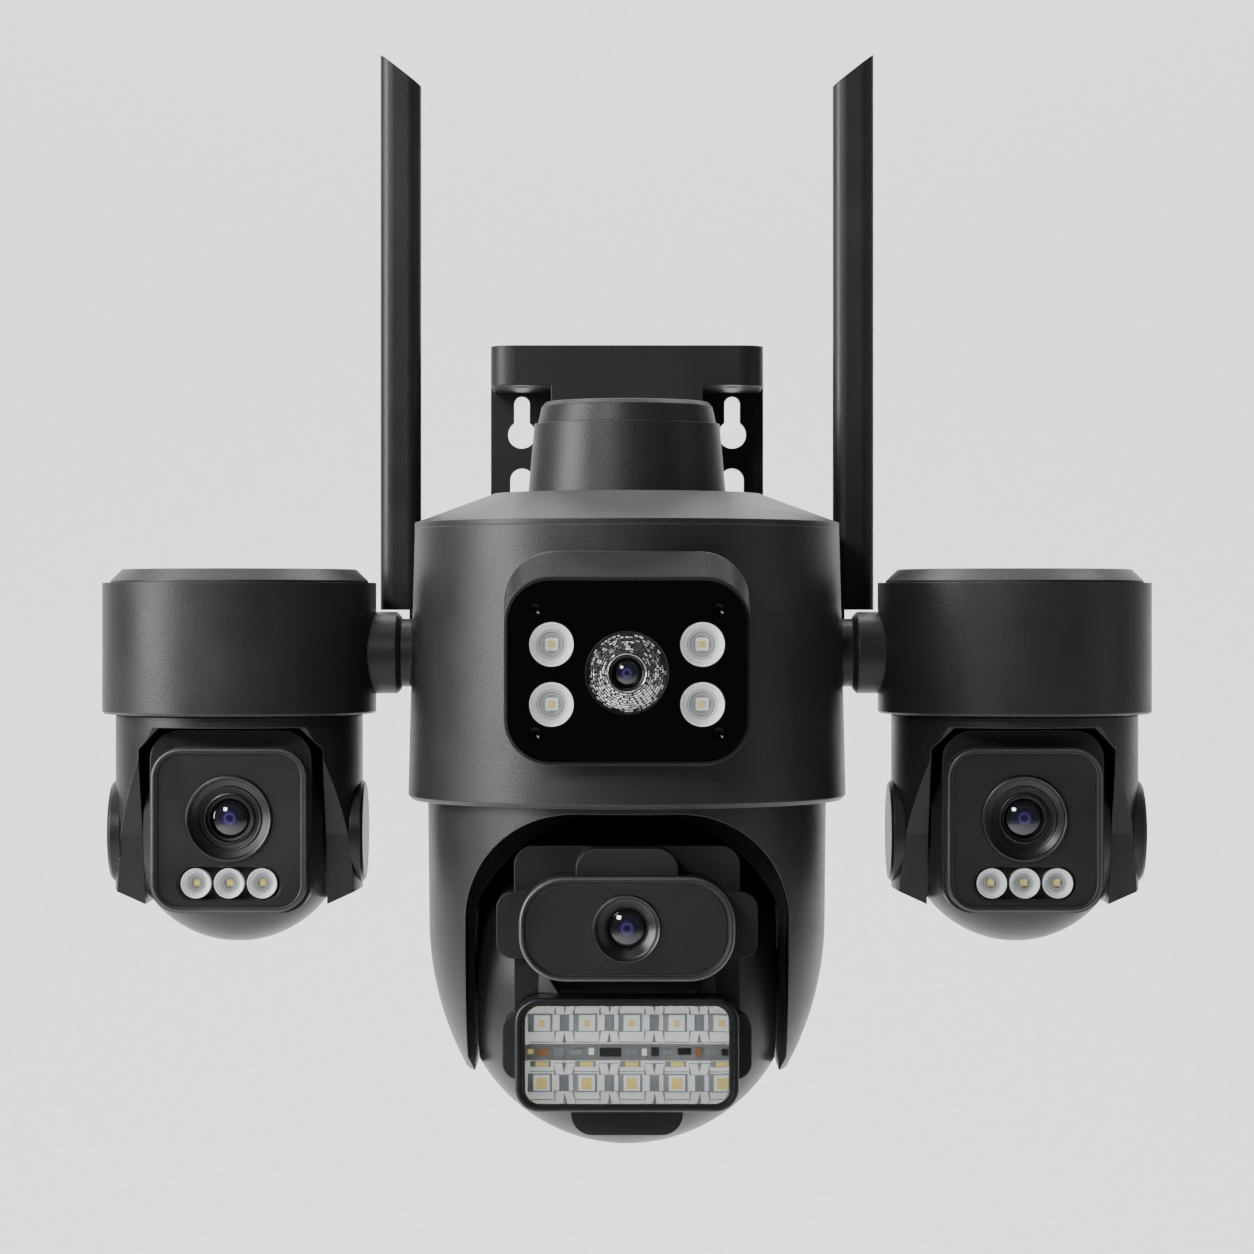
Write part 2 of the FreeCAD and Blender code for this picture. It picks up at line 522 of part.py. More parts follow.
def front_window():
    """Gloss window with its lamps, centre ring and lens; all lie on the hood's front."""
    plate = slab("window_plate", "window_width / 2 - window_rim", "window_height - 2 * window_rim",
                 "window_corner - window_rim", "window_depth - window_thick", "window_depth",
                 z="window_z")
    holes = [cylinder("ring_hole", "ring_radius", "3 * window_thick", "0",
                      "window_back_y + window_thick", "ring_z", "front")]
    cups = []
    board = [slab("lamp_board", "pocket_half_x", "2 * pocket_half_z", "window_corner - 4",
                  "window_depth - cup_depth - board_thick", "window_depth - cup_depth",
                  z="window_z")]
    board_holes = [cylinder("barrel_hole", "front_lens_radius + 1", "4 * board_thick", "0",
                            "cup_back_y + 3 * board_thick", "ring_z", "front")]
    screws = []
    for index, (mirror, lamp_z, rise) in enumerate((
            ("-1", "cup_high_z", "1"), ("1", "cup_high_z", "1"),
            ("-1", "cup_low_z", "-1"), ("1", "cup_low_z", "-1"))):
        at_x = f"{mirror} * cup_x"
        holes.append(cylinder(f"cup_hole_{index}", "cup_radius", "3 * window_thick", at_x,
                              "window_back_y + window_thick", lamp_z, "front"))
        body = cylinder(f"cup_body_{index}", "cup_radius", "cup_depth", at_x, "cup_back_y",
                        lamp_z, "front")
        bowl = cone(f"cup_bowl_{index}", "cup_throat", "cup_mouth", "cup_depth", at_x,
                    "cup_back_y", lamp_z, "front")
        cups.append(cut(f"cup_{index}", body, bowl))
        board.append(box(f"lamp_chip_{index}",
                         (f"{at_x} - chip_size / 2", f"{at_x} + chip_size / 2"),
                         ("cup_back_y - chip_thick", "cup_back_y + 0.2"),
                         (f"{lamp_z} - chip_size / 2", f"{lamp_z} + chip_size / 2")))
        screw_x = f"{mirror} * front_screw_x"
        screw_z = f"window_z + {rise} * front_screw_rise"
        for target, stem in ((holes, "window"), (board_holes, "lamp_board")):
            target.append(cylinder(f"{stem}_screw_hole_{index}", "front_screw_radius",
                                   "4 * cup_depth", screw_x, "window_face_y + 3 * cup_depth",
                                   screw_z, "front"))
        pin = cylinder(f"screw_pin_{index}", "front_screw_radius",
                       "cup_depth + board_thick - loose_gap", screw_x,
                       "cup_back_y + board_thick", screw_z, "front")
        socket = cylinder(f"screw_socket_{index}", "front_screw_radius / 2", "2", screw_x,
                          "window_face_y + 1.3", screw_z, "front")
        screws.append(cut(f"screw_{index}", pin, socket))
    node(cut("window_cut", plate, *holes), "front_window")
    node(fuse("cups", *cups), "front_led_cups")
    node(cut("lamp_board_cut", fuse("lamp_board_solid", *board), *board_holes), "front_led_board")
    node(fuse("screws", *screws), "window_screws")
    ring = cylinder("ring_body", "ring_radius", "cup_depth - loose_gap", "0", "cup_back_y",
                    "ring_z", "front")
    node(cut("ring", ring, cylinder("ring_bore_tool", "ring_bore", "3 * cup_depth", "0",
                                    "cup_back_y + cup_depth", "ring_z", "front")),
         "fresnel_ring")
    node(turned("front_barrel", [
        ("0", "-8"), ("front_lens_radius + 0.8", "-8"), ("front_lens_radius + 0.8", "cup_depth - 1"),
        ("front_lens_radius", "cup_depth - 1"), ("front_lens_radius - 1", "cup_depth - 2.6"),
        ("0", "cup_depth - 2.6"),
    ], y="cup_back_y", z="ring_z", axis="front"), "front_lens_barrel")
    node(turned("front_glass", [
        ("0", "cup_depth - 2.6"), ("front_lens_radius - 1", "cup_depth - 2.6"),
        ("front_lens_radius - 1", "cup_depth - 2"), ("front_lens_radius / 2", "cup_depth - 1.4"),
        ("0", "cup_depth - 1.4"),
    ], y="cup_back_y", z="ring_z", axis="front"), "front_lens_glass")


def stubs_and_lugs():
    """Round stubs that carry the side arms and the antennas' hinge lugs, one pair each."""
    stubs = []
    lugs = []
    for index, mirror in enumerate((-1, 1)):
        root = "drum_top_radius - 8"
        start = root if mirror > 0 else "0 - stub_out"
        body = cylinder(f"stub_{index}", "stub_radius", f"stub_out - ({root})", start, "axis_y",
                        "arm_z", "X")
        bore = cylinder(f"stub_bore_{index}", "shaft_radius + running_fit", "4 * stub_out",
                        "0 - 2 * stub_out", "axis_y", "arm_z", "X")
        stubs.append(cut(f"stub_cut_{index}", body, drum_outer(f"stub_trim_{index}"), bore))
        lug_root = "drum_top_radius - 10"
        start = lug_root if mirror > 0 else "0 - lug_out"
        body = cylinder(f"lug_{index}", "hinge_radius", f"lug_out - ({lug_root})", start,
                        "antenna_y", "hinge_z", "X")
        start = "lug_out - 1" if mirror > 0 else "0 - ear_out"
        pin = cylinder(f"lug_pin_{index}", "pin_radius", "ear_out - lug_out + 1", start,
                       "antenna_y", "hinge_z", "X")
        lugs.append(cut(f"lug_cut_{index}", fuse(f"lug_solid_{index}", body, pin),
                        drum_outer(f"lug_trim_{index}")))
    node(fuse("stubs", *stubs), "stub_collars")
    node(fuse("lugs", *lugs), "antenna_lugs")


def antenna(side, mirror):
    """Flat blade with a slanted tip and a thin hinge ear under its inner edge."""
    x = f"{mirror} * antenna_x"
    blade = padded(
        f"{side}_blade", "XY_Plane",
        lambda sketch: rounded_rectangle(
            sketch, "antenna_half", "0 - antenna_thick / 2", "antenna_thick / 2",
            "antenna_corner"),
        "antenna_tip - antenna_low", x, "antenna_y", "antenna_low")
    inner = "antenna_tip - antenna_slant - antenna_low"
    outer = "antenna_tip - antenna_low"
    left_top, right_top = (outer, inner) if mirror == "-1" else (inner, outer)
    outline_block = padded(
        f"{side}_slant", "XZ_Plane",
        lambda sketch: outline(sketch, [
            ("0 - antenna_half - 1", "-1"), ("antenna_half + 1", "-1"),
            ("antenna_half + 1", right_top), ("0 - antenna_half - 1", left_top)]),
        "2 * antenna_thick", x, "antenna_y + antenna_thick", "antenna_low")
    start = "ear_in" if mirror == "1" else "0 - ear_out"
    end = "ear_out" if mirror == "1" else "0 - ear_in"
    ear = box(f"{side}_ear", (start, end), ("antenna_y - hinge_radius + 0.4",
                                            "antenna_y + hinge_radius - 0.4"),
              ("hinge_z", "antenna_low + 1"))
    barrel = cylinder(f"{side}_barrel", "hinge_radius", "ear_out - ear_in", start, "antenna_y",
                      "hinge_z", "X")
    bore = cylinder(f"{side}_ear_bore", "pin_radius + running_fit", "ear_out", f"{start} - 10",
                    "antenna_y", "hinge_z", "X")
    trimmed = common(f"{side}_blade_cut", blade, outline_block)
    node(cut(f"{side}_antenna_cut", fuse(f"{side}_antenna_solid", trimmed, ear, barrel), bore),
         f"{side}_antenna")


def gear(name, teeth, bore, turn, x, y, z):
    """Spur gear with involute flanks, thinned by half the backlash on each flank."""
    module = SIZES["gear_module"]
    pitch = module * teeth / 2
    base = pitch * math.cos(math.radians(20))
    tip = pitch + 0.95 * module
    root = pitch - 1.2 * module
    rolled = math.tan(math.radians(20)) - math.radians(20)
    half_tooth = math.pi / (2 * teeth) - SIZES["backlash"] / (2 * pitch) + rolled
    points = []
    for tooth in range(teeth):
        middle = 2 * math.pi * tooth / teeth + turn
        flank = []
        for step in range(6):
            radius = max(base, root) + (tip - max(base, root)) * step / 5
            angle = math.acos(min(1.0, base / radius))
            flank.append((radius, half_tooth - (math.tan(angle) - angle)))
        if root < base:
            flank.insert(0, (root, half_tooth))
        rising = [(radius, middle - away) for radius, away in flank]
        falling = [(radius, middle + away) for radius, away in reversed(flank)]
        points += [V(radius * math.cos(a), radius * math.sin(a), 0) for radius, a in rising + falling]
    face = Part.Face(Part.makePolygon(points + points[:1]))
    solid = face.extrude(V(0, 0, SIZES["gear_thick"]))
    if bore:
        solid = solid.cut(Part.makeCylinder(bore, SIZES["gear_thick"]))
    made = DOC.addObject("Part::Feature", name)
    made.Shape = solid
    return place(made, x, y, z)


def main_yoke():
    """Dome-ended shell with a high front arch and a low back one, hollowed for the ball."""
    outer = turned("yoke_outer", [
        ("0", "yoke_end_z"),
        ("yoke_end_radius", "yoke_end_z", "yoke_arc_radius"),
        ("yoke_low_radius", "yoke_waist_z"), ("yoke_radius", "yoke_top - yoke_round"),
        ("yoke_radius - yoke_round", "yoke_top"), ("0", "yoke_top"),
    ])
    ball = sphere("yoke_ball", "head_radius + head_gap", "0", "axis_y", "tilt_z")
    middle = box("yoke_middle", pair("yoke_inner"), ("axis_y - yoke_radius", "axis_y + yoke_radius"),
                 ("tilt_z - 2 * yoke_radius", "yoke_top - 1"))
    below = box("yoke_below", pair("yoke_inner"), ("axis_y - yoke_radius", "axis_y + yoke_radius"),
                ("tilt_z - 2 * yoke_radius", "tilt_z"))
    arches = [
        slab("yoke_arch_front", "arch_half", "2 * (arch_top - tilt_z)", "arch_corner",
             "arm_lip_depth", "2 * yoke_radius", z="tilt_z"),
        slab("yoke_arch_back", "arch_half", "2 * (back_arch_top - tilt_z)", "back_arch_corner",
             "0 - 2 * yoke_radius", "0 - arm_lip_depth", z="tilt_z"),
    ]
    feet = [
        box(f"yoke_arch_foot_{name}", pair("arch_half"), span,
            ("tilt_z - 2 * yoke_radius", "tilt_z"))
        for name, span in (
            ("front", ("axis_y - 2 * yoke_radius", "axis_y - arm_lip_depth")),
            ("back", ("axis_y + arm_lip_depth", "axis_y + 2 * yoke_radius")))
    ]
    hub = cylinder("yoke_hub", "hub_radius", "gear_top - yoke_top + 1", "0", "axis_y",
                   "yoke_top - 1")
    reach = "head_half + trunnion_reach + loose_gap"
    pivots = cylinder("yoke_pivots", "trunnion_radius + running_fit", f"2 * ({reach})",
                      f"0 - ({reach})", "axis_y", "tilt_z", "X")
    wire = cylinder("yoke_wire_hole", "hub_bore", "4 * hub_radius", "0", "axis_y",
                    "yoke_top - 2 * hub_radius")
    node(cut("yoke_cut", fuse("yoke_solid", outer, hub), common("yoke_ball_cut", ball, middle),
             below, *arches, *feet, pivots, wire), "main_yoke_shell")
    node(gear("pan_gear_teeth", SIZES["gear_teeth"], SIZES["hub_radius"], 0, "0", "axis_y",
              "gear_low"), "pan_gear")
    half_step = math.pi / SIZES["pinion_teeth"]
    wheel = gear("pinion_teeth_ring", SIZES["pinion_teeth"], 0, half_step - math.pi / 2, "0",
                 "pinion_y", "gear_low")
    shaft = cylinder("pinion_shaft", "pinion_shaft_radius", "tower_top + 3 - floor_low", "0",
                     "pinion_y", "floor_low")
    node(fuse("pinion", wheel, shaft), "pan_pinion")


def tabs(clear):
    """Ears beside the pod and the floodlight that lap over the head's shell."""
    return [
        slab(f"{name}_{clear}", half, height, "side_tab_corner", "side_tab_root",
             "side_tab_depth + 10" if clear == "room" else "side_tab_depth", z=at_z)
        for name, half, height, at_z in (
            ("pod_tabs", "pod_tab_half", "pod_tab_height", "pod_z"),
            ("flood_tabs", "flood_tab_half", "flood_tab_height", "flood_tab_z"))
    ]


def face_block(name, root, face):
    return slab(name, "face_half", "face_top - face_low", "face_corner", root, face,
                z="(face_top + face_low) / 2")


def pod_block(name, face):
    return slab(name, "pod_width / 2", "pod_height", "pod_corner", "pocket_root", face, z="pod_z")


def flood_block(name, face):
    return slab(name, "flood_width / 2", "flood_height", "flood_corner", "pocket_root", face,
                z="flood_z")


def main_head():
    """Ball with flat cheeks, its domed face panel and the lens pod and floodlight on it."""
    ball = sphere("head_ball", "head_radius", "0", "axis_y", "tilt_z")
    bounds = box("head_bounds", pair("head_half"), ("axis_y - head_radius", "axis_y + head_radius"),
                 ("tilt_z - head_radius", "head_top_cut"))
    hollow = common(
        "head_hollow",
        sphere("head_hollow_ball", "head_radius - head_wall", "0", "axis_y", "tilt_z"),
        box("head_hollow_box", pair("head_inner"),
            ("axis_y - face_root", "axis_y + head_radius"),
            ("tilt_z - head_radius", "head_top_cut - head_wall")))
    ends = [
        cylinder(f"trunnion_{index}", "trunnion_radius", "trunnion_reach + head_wall", start,
                 "axis_y", "tilt_z", "X")
        for index, start in enumerate(("0 - head_half - trunnion_reach", "head_inner"))
    ]
    trims = [cylinder(f"trunnion_trim_{index}", "trunnion_radius", "head_wall", start, "axis_y",
                      "tilt_z", "X")
             for index, start in enumerate(("0 - head_half", "head_inner"))]
    node(cut("head_shell_cut", common("head_solid", ball, bounds), hollow,
             face_block("head_face_room", "face_root", "2 * head_radius"), *tabs("room"), *trims),
         "main_head_shell")
    node(fuse("trunnions_pair", *ends), "tilt_trunnions")

    dome = common("face_dome", face_block("face_block_solid", "face_root", "2 * head_radius"),
                  sphere("face_ball", "head_radius - face_drop", "0", "axis_y", "tilt_z"))
    plate = slab("face_plate", "face_half", "face_top - face_plate_low", "face_plate_corner",
                 "face_root", "face_plate_depth", z="(face_top + face_plate_low) / 2")
    top_tab = slab("top_tab", "top_tab_half", "face_top - pod_z", "tab_corner", "face_root",
                   "top_tab_depth", z="(face_top + pod_z) / 2")
    low_tab = slab("low_tab", "low_tab_half", "flood_z - low_tab_low", "tab_corner", "face_root",
                   "low_tab_depth", z="(flood_z + low_tab_low) / 2")
    ears = [cut(f"ear_plate_{index}", tab,
                slab(f"ear_back_{index}", "head_inner", "2 * head_radius", "face_corner",
                     "0", "side_tab_root + 8", z="tilt_z"))
            for index, tab in enumerate(tabs("solid"))]
    slot = padded(
        "face_slot", "XZ_Plane",
        lambda sketch: outline(sketch, [
            ("0 - slot_low_half", "flood_z"), ("slot_low_half", "flood_z"),
            ("slot_low_half", "flood_z + flood_height / 2"),
            ("slot_high_half", "pod_z - pod_height / 2"), ("slot_high_half", "pod_z"),
            ("0 - slot_high_half", "pod_z"), ("0 - slot_high_half", "pod_z - pod_height / 2"),
            ("0 - slot_low_half", "flood_z + flood_height / 2")]),
        "head_radius", "0", "axis_y - slot_root", "0")
    node(cut("face_cut", fuse("face_solid", dome, plate, top_tab, low_tab, *ears), slot,
             pod_block("face_pod_room", "2 * head_radius"),
             flood_block("face_flood_room", "2 * head_radius"),
             cylinder("face_wire_hole", "hub_bore", "head_radius", "0", "axis_y", "pod_z",
                      "front")), "head_face")

    sink = slab("pod_sink_tool", "pod_width / 2 - pod_rim", "pod_height - 2 * pod_rim",
                "pod_corner - pod_rim", "pod_depth - pod_sink", "pod_depth + 1", z="pod_z")
    barrel_hole = cylinder("pod_barrel_hole", "pod_lens_radius", "pod_depth", "0",
                           "axis_y - pocket_root", "pod_z", "front")
    node(cut("pod_cut", pod_block("pod_solid", "pod_depth"), sink, barrel_hole), "camera_pod")
    front = "pod_depth - pocket_root"
    node(turned("pod_barrel", [
        ("0", "0"), ("pod_lens_radius", "0"), ("pod_lens_radius", f"{front} - pod_sink"),
        ("pod_lens_radius - 0.5", f"{front} - 0.5"), ("pod_lens_radius - 1.3", f"{front} - 0.5"),
        ("pod_lens_radius - 1.6", f"{front} - 1.6"), ("pod_lens_bore + 1.8", f"{front} - 1.6"),
        ("pod_lens_bore + 0.4", f"{front} - 3.6"), ("pod_lens_bore", f"{front} - 3.6"),
        ("pod_lens_bore", f"{front} - 5.5"), ("0", f"{front} - 5.5"),
    ], y="axis_y - pocket_root", z="pod_z", axis="front"), "pod_lens_barrel")
    node(turned("pod_glass", [
        ("0", f"{front} - 5.5"), ("pod_lens_bore", f"{front} - 5.5"),
        ("pod_lens_bore", f"{front} - 4.4"), ("pod_lens_bore / 2", f"{front} - 3.4"),
        ("0", f"{front} - 3.4"),
    ], y="axis_y - pocket_root", z="pod_z", axis="front"), "pod_lens_glass")

    motor = cylinder("tilt_motor_can", "tilt_motor_radius", "tilt_motor_length",
                     "head_inner - tilt_motor_length", "axis_y", "tilt_z", "X")
    node(motor, "tilt_motor")


def floodlight():
    """Frame, clear lens and the board with two rows of five LEDs."""
    opening = slab("flood_opening", "lens_width / 2", "lens_height", "lens_corner",
                   "flood_board_depth", "flood_depth + 1", z="flood_z")
    node(cut("flood_cut", flood_block("flood_solid", "flood_depth"), opening), "flood_frame")
    node(slab("flood_lens_plate", "lens_width / 2", "lens_height", "lens_corner",
              "flood_depth - lens_sink - lens_thick", "flood_depth - lens_sink", z="flood_z"),
         "flood_lens")
    plate = slab("flood_plate", "lens_width / 2", "lens_height", "lens_corner",
                 "flood_board_depth", "flood_board_depth + board_thick", z="flood_z")
    chips = []
    for column in range(-2, 3):
        for row in (-1, 1):
            x = f"{column} * chip_pitch + chip_shift"
            z = f"flood_z + {row} * chip_row"
            chips.append(box(f"flood_chip_{column + 3}_{row + 2}",
                             (f"{x} - flood_chip / 2", f"{x} + flood_chip / 2"),
                             ("flood_board_y - board_thick - flood_chip_thick",
                              "flood_board_y - board_thick + 0.2"),
                             (f"{z} - flood_chip / 2", f"{z} + flood_chip / 2")))
    node(fuse("flood_board", plate, *chips), "flood_led_board")


def side_drum(side, mirror):
    """Side drum with lid, motor and the knuckle that swivels on the main drum's stub."""
    x = f"{mirror} * side_x"
    node(turned(f"{side}_drum_turned", [
        ("side_hub_radius + running_fit", "side_floor_low"), ("side_inner_wall", "side_floor_low"),
        ("side_inner_wall", "side_low"), ("side_radius - side_round", "side_low"),
        ("side_radius", "side_low + side_round"), ("side_radius", "side_top"),
        ("side_inner_wall", "side_top"),
        ("side_inner_wall", "side_floor_low + side_floor_thick"),
        ("side_hub_radius + running_fit", "side_floor_low + side_floor_thick"),
    ], x=x), f"{side}_drum")
    node(turned(f"{side}_lid_turned", [
        ("side_inner_wall - 2", "side_top - lid_spigot"),
        ("side_inner_wall", "side_top - lid_spigot"), ("side_inner_wall", "side_top"),
        ("lid_ledge_radius", "side_top"), ("lid_ledge_radius", "side_top + lid_step"),
        ("lid_flat_radius", "lid_top"), ("0", "lid_top"), ("0", "lid_top - lid_thick"),
        ("lid_flat_radius - 1", "lid_top - lid_thick"),
        ("side_inner_wall - 2", "side_top - lid_spigot / 2"),
    ], x=x), f"{side}_drum_lid")
    node(cylinder(f"{side}_pan_motor_can", "side_motor_radius", "side_motor_length", x, "axis_y",
                  "side_floor_low + side_floor_thick"), f"{side}_pan_motor")
    long = "side_x - side_radius + 8 - stub_out"
    knuckle = turned(f"{side}_knuckle_turned", [
        ("0", "0 - shaft_length"), ("shaft_radius", "0 - shaft_length"), ("shaft_radius", "0"),
        ("knuckle_radius - knuckle_chamfer", "0"), ("knuckle_radius", "knuckle_chamfer"),
        ("knuckle_radius", long), ("0", long),
    ], x=f"{mirror} * stub_out", z="arm_z", axis="X")
    if mirror == "-1":
        flip = FreeCAD.Rotation(V(0, 1, 0), -90)
        knuckle.Placement.Rotation = flip
    trim = cylinder(f"{side}_knuckle_trim", "side_radius", "3 * side_radius", x, "axis_y",
                    "arm_z - 1.5 * side_radius")
    node(cut(f"{side}_knuckle_cut", knuckle, trim), f"{side}_arm_knuckle")


def side_yoke(side, mirror):
    """Fork under the side drum: round plate, two tapering arms joined by a back web, ear caps."""
    x = f"{mirror} * side_x"
    height = "side_yoke_top - side_arm_end_z"
    round_stock = cylinder(f"{side}_fork_round", "side_yoke_radius", height, x, "axis_y",
                           "side_arm_end_z")
    front_view = padded(
        f"{side}_fork_front", "XZ_Plane",
        lambda sketch: outline(sketch, [
            ("0 - side_inner", "side_arm_end_z"), ("side_inner", "side_arm_end_z"),
            ("side_yoke_radius + 1", "side_arm_end_z + side_arm_slant"),
            ("side_yoke_radius + 1", "side_yoke_top"),
            ("0 - side_yoke_radius - 1", "side_yoke_top"),
            ("0 - side_yoke_radius - 1", "side_arm_end_z + side_arm_slant")]),
        "3 * side_yoke_radius", x, "axis_y + 1.5 * side_yoke_radius", "0")
    side_view = padded(
        f"{side}_fork_side", "YZ_Plane",
        lambda sketch: outline(sketch, [
            ("0 - side_arm_end_half", "side_arm_end_z"), ("side_arm_end_half", "side_arm_end_z"),
            ("side_arm_half", "side_tilt_z"), ("side_yoke_radius + 1", "side_web_low"),
            ("side_yoke_radius + 1", "side_yoke_top"), ("0 - side_yoke_radius - 1", "side_yoke_top"),
            ("0 - side_yoke_radius - 1", "side_yoke_top - side_yoke_thick"),
            ("0 - side_arm_top_half", "side_yoke_top - side_yoke_thick"),
            ("0 - side_arm_half", "side_tilt_z")]),
        "4 * side_yoke_radius", f"{x} - 2 * side_yoke_radius", "axis_y", "0")
    under = "side_yoke_top - side_yoke_thick"
    between = padded(
        f"{side}_fork_between", "XZ_Plane",
        lambda sketch: outline(sketch, [
            ("0 - side_inner", "side_arm_end_z - 1"), ("side_inner", "side_arm_end_z - 1"),
            ("side_inner", f"{under} - gusset_reach"), ("side_inner - gusset_reach", under),
            ("gusset_reach - side_inner", under), ("0 - side_inner", f"{under} - gusset_reach")]),
        "3 * side_yoke_radius", x, "axis_y + 1.5 * side_yoke_radius", "0")
    swept = fuse(f"{side}_fork_swept",
                 cylinder(f"{side}_fork_bore", "side_yoke_radius - side_web_wall", height, x,
                          "axis_y", "side_arm_end_z - 1"),
                 box(f"{side}_fork_front_room", (f"{x} - side_yoke_radius", f"{x} + side_yoke_radius"),
                     ("axis_y - 2 * side_yoke_radius", "axis_y"),
                     ("side_arm_end_z - 1", "side_yoke_top - 1")))
    gap = common(f"{side}_fork_gap", between, swept)
    ball = sphere(f"{side}_fork_ball", "side_head_radius + side_gap", x, "axis_y", "side_tilt_z")
    ball_room = common(f"{side}_fork_ball_room", ball,
                       box(f"{side}_fork_ball_box", (f"{x} - side_inner", f"{x} + side_inner"),
                           ("axis_y - side_radius", "axis_y + side_radius"),
                           ("side_arm_end_z", "side_yoke_top - 1")))
    pockets = []
    caps = []
    inner = "cap_out - cap_thick"
    for index, toward in enumerate(("-1", "1")):
        start = f"{x} + {inner}" if toward == "1" else f"{x} - cap_out"
        pockets.append(cylinder(f"{side}_ear_pocket_{index}", "ear_radius", "cap_thick", start,
                                "axis_y", "side_tilt_z", "X"))
        cap = turned(f"{side}_cap_{index}", [
            ("0", "0"), ("ear_radius", "0"), ("ear_radius", "cap_thick - cap_chamfer"),
            ("ear_radius - cap_chamfer", "cap_thick"), ("0", "cap_thick")],
            x=f"{x} + {toward} * ({inner})", z="side_tilt_z", axis="X")
        if toward == "-1":
            cap.Placement.Rotation = FreeCAD.Rotation(V(0, 1, 0), -90)
        caps.append(cap)
    hub = cylinder(f"{side}_hub", "side_hub_radius",
                   "side_floor_low + side_floor_thick - loose_gap - side_yoke_top + 1", x, "axis_y",
                   "side_yoke_top - 1")
    reach = "side_head_half + side_trunnion_reach + loose_gap"
    pivots = cylinder(f"{side}_fork_pivots", "side_trunnion_radius + running_fit",
                      f"2 * ({reach})", f"{x} - ({reach})", "axis_y", "side_tilt_z", "X")
    arms = common(f"{side}_fork_arms", round_stock, front_view, side_view)
    node(cut(f"{side}_fork_cut", fuse(f"{side}_fork_solid", arms, hub), gap, ball_room, pivots,
             *pockets), f"{side}_yoke")
    node(fuse(f"{side}_caps", *caps), f"{side}_ear_caps")


